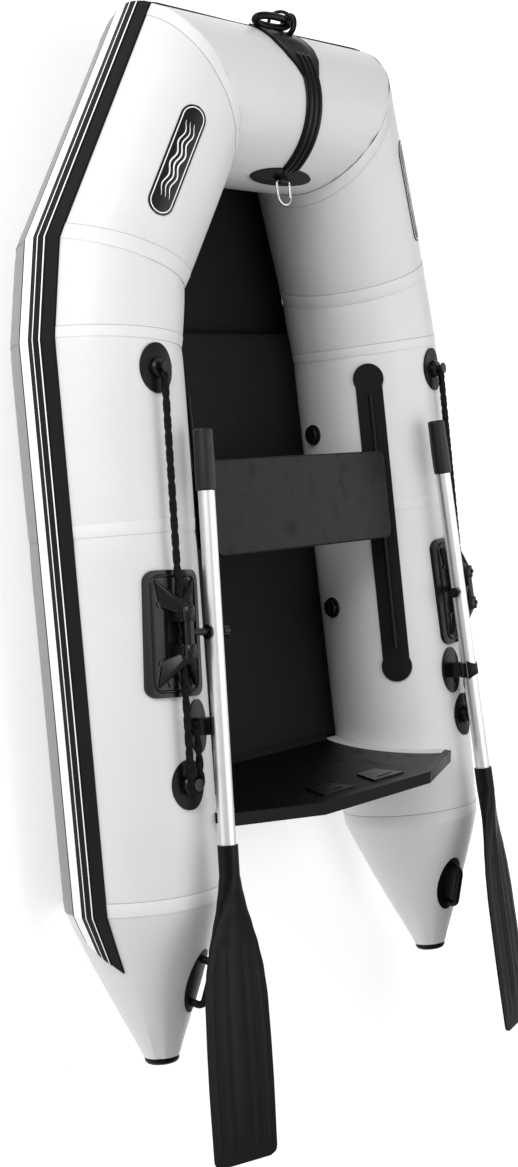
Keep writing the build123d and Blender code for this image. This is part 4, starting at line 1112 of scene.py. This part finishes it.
# Angles run over the bow tube in degrees, from in front; each width is half the strap's.
strap = {
    "widths": [(17, .030), (22, .062), (34, .072), (52, .072), (63, .060), (73, .040), (80, .0285),
               (146, .027), (153, .012)],
    "base": 0.0052, "lift": 0.0004, "rim": 0.0016, "rows": 150, "columns": 61,
    "ridge": 0.0040, "ridges": (-0.0185, 0.0, 0.0185), "ridgeHalf": 0.0062, "ridgeFrom": 60, "ridgeTo": 150,
    "boss": 0.006, "bossAt": 47, "bossWidth": 7, "bossShare": 0.75,
}


# Moulded strap over the bow: a shield in front, a ridged band above and a tongue inside.
def bowStrap():
    points, rows, columns = [], strap["rows"], strap["columns"]
    first, last = strap["widths"][0][0], strap["widths"][-1][0]
    for row in range(rows):
        degrees = first + (last - first) * row / (rows - 1)
        half = easedValue(strap["widths"], degrees)
        ridged = ramp(degrees, strap["ridgeFrom"], 3) * ramp(strap["ridgeTo"] - degrees, 0, 4)
        boss = strap["boss"] * math.exp(-((degrees - strap["bossAt"]) / strap["bossWidth"]) ** 2)
        for column in range(columns):
            y = half * (2 * column / (columns - 1) - 1)
            rim = min(1.0, (half - abs(y)) / strap["rim"], degrees - first, last - degrees)
            height = strap["base"] * rim ** 0.6 if rim > 0 else 0.0
            for centre in strap["ridges"]:
                height += strap["ridge"] * ridged * rim * math.exp(-((y - centre) / strap["ridgeHalf"]) ** 6)
            height += boss * max(0.0, 1 - (y / (half * strap["bossShare"])) ** 2) * rim
            points.append(bowPoint(math.radians(degrees), y, strap["lift"] + height))
    made = smoothObject("bowStrap", points, gridFaces(rows, columns))
    outwards(made)
    return place(made, "hull", "black_rubber", "rubber", replaced=["bow_strip", "bow_patch_outer"])


# Each lashing ring: where it sits across the boat, how it is tipped, and its radius.
grab = {
    "angle": 30.0, "shift": 0.016, "half": 0.060, "rise": 0.0165, "depth": 0.0150, "lean": 62.0,
    "bar": 0.0085, "foot": 0.005, "blunt": 0.75, "count": 48,
    "rings": ((-0.018, 0.30, 0.029), (-0.047, -0.35, 0.027)),
    "ringBar": 0.0040, "ringLift": 0.016, "ringSquash": 0.9, "ringCount": 28,
}


# Thick rubber grab loop lying across the bow with its two lashing rings.
def bowGrab():
    angle, lean = math.radians(grab["angle"]), math.radians(grab["lean"])
    out = Vector((math.cos(angle), 0, math.sin(angle)))
    down = Vector((math.sin(angle), 0, -math.cos(angle)))
    foot = bowPoint(angle, 0, grab["foot"])
    heading = Vector((math.cos(lean), 0, math.sin(lean)))
    oval, count = [], grab["count"]
    for k in range(count):
        turn = math.tau * k / count
        y = math.copysign(abs(math.cos(turn)) ** grab["blunt"], math.cos(turn)) * grab["half"] + grab["shift"]
        oval.append(foot + out * grab["rise"] + Vector((0, y, 0)) + heading * math.sin(turn) * grab["depth"])
    parts = [sweptTube("grab", oval, grab["bar"], 20, closed=True)]
    count = grab["ringCount"]
    for offset, tip, size in grab["rings"]:
        centre = foot + Vector((0, offset, 0)) + out * grab["ringLift"]
        across = (Vector((0, 1, 0)) * math.sin(tip) + down * math.cos(tip)).normalized() * size
        away = out * size * grab["ringSquash"]
        turns = [math.tau * k / count for k in range(count)]
        ring = [centre + across * math.cos(turn) + away * math.sin(turn) for turn in turns]
        parts.append(sweptTube("lashing", ring, grab["ringBar"], closed=True))
    made = joined("bowGrab", parts)
    outwards(made)
    return place(made, "hull", "black_rubber", "rubber", replaced=["bow_handle"])


bowStrap()
bowGrab()

print("stage: finishes on the rigid parts")
nodeFinish = {
    "rubber": ["tail_caps", "transom_trim", "seat_hangers", "rope_patches", "bow_patch_inner",
               "tail_handles"],
    "board": ["transom_board", "clamp_pad_outer"],
    "seatBoard": ["seat_board"],
    "railRubber": ["seat_rails", "rail_end_discs"],
    "steel": ["tow_ring"],
    "plastic": ["clamp_pads_inner", "drain_socket", "drain_plug", "rowlock_hinge_pins", "oar_clips",
                "rope_studs", "valve_bodies", "valve_cap_bow", "valve_cap_starboard", "valve_cap_port"],
    "aluminium": [],
}
for word in sides:
    nodeFinish["plastic"] += [f"{part}_{word}" for part in ("rowlock_base", "rowlock_swivel", "oar_knob")]
    nodeFinish["aluminium"] += [f"oar_upper_shaft_{word}", f"oar_lower_shaft_{word}"]
for finish, nodes in nodeFinish.items():
    for node in nodes:
        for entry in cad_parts[node].material_slots:
            entry.link = "OBJECT"
            entry.material = materials[finish]

print("stage: floor and lights")
studio = {"half": 9, "floor": (0.94, 0.94, 0.94), "roughness": 0.8, "glow": 0.40, "world": 0.42}
half = studio["half"]
floorCorners = [(-half, -half, 0), (half, -half, 0), (half, half, 0), (-half, half, 0)]
floorMesh = smoothObject("studioFloor", floorCorners, [(0, 1, 2, 3)], smooth=False)
floorMaterial = bpy.data.materials.new("studioFloor")
floorMaterial.use_nodes = True
floorSockets = floorMaterial.node_tree.nodes["Principled BSDF"].inputs
floorSockets["Base Color"].default_value = (*studio["floor"], 1)
floorSockets["Roughness"].default_value = studio["roughness"]
floorSockets["Emission Color"].default_value = (1, 1, 1, 1)
floorSockets["Emission Strength"].default_value = studio["glow"]
floorMesh.data.materials.append(floorMaterial)
world = bpy.data.worlds.new("studio")
world.use_nodes = True
world.node_tree.nodes["Background"].inputs["Color"].default_value = (1, 1, 1, 1)
world.node_tree.nodes["Background"].inputs["Strength"].default_value = studio["world"]
scene.world = world
# Each lamp: its place, its size and its power.
lamps = {
    "keyLight": ((2.1, 3.1, 1.5), 1.9, 68),
    "topLight": ((-0.4, -0.3, 3.9), 3.0, 52),
    "backLight": ((0.4, -3.2, 2.6), 2.4, 26),
}
for name, (spot, size, power) in lamps.items():
    data = bpy.data.lights.new(name, "AREA")
    data.energy = power
    data.size = size
    lamp = bpy.data.objects.new(name, data)
    scene.collection.objects.link(lamp)
    lamp.location = spot
    lamp.rotation_euler = (Vector((0, 0, 0.2)) - Vector(spot)).to_track_quat("-Z", "Y").to_euler()


print("stage: done")
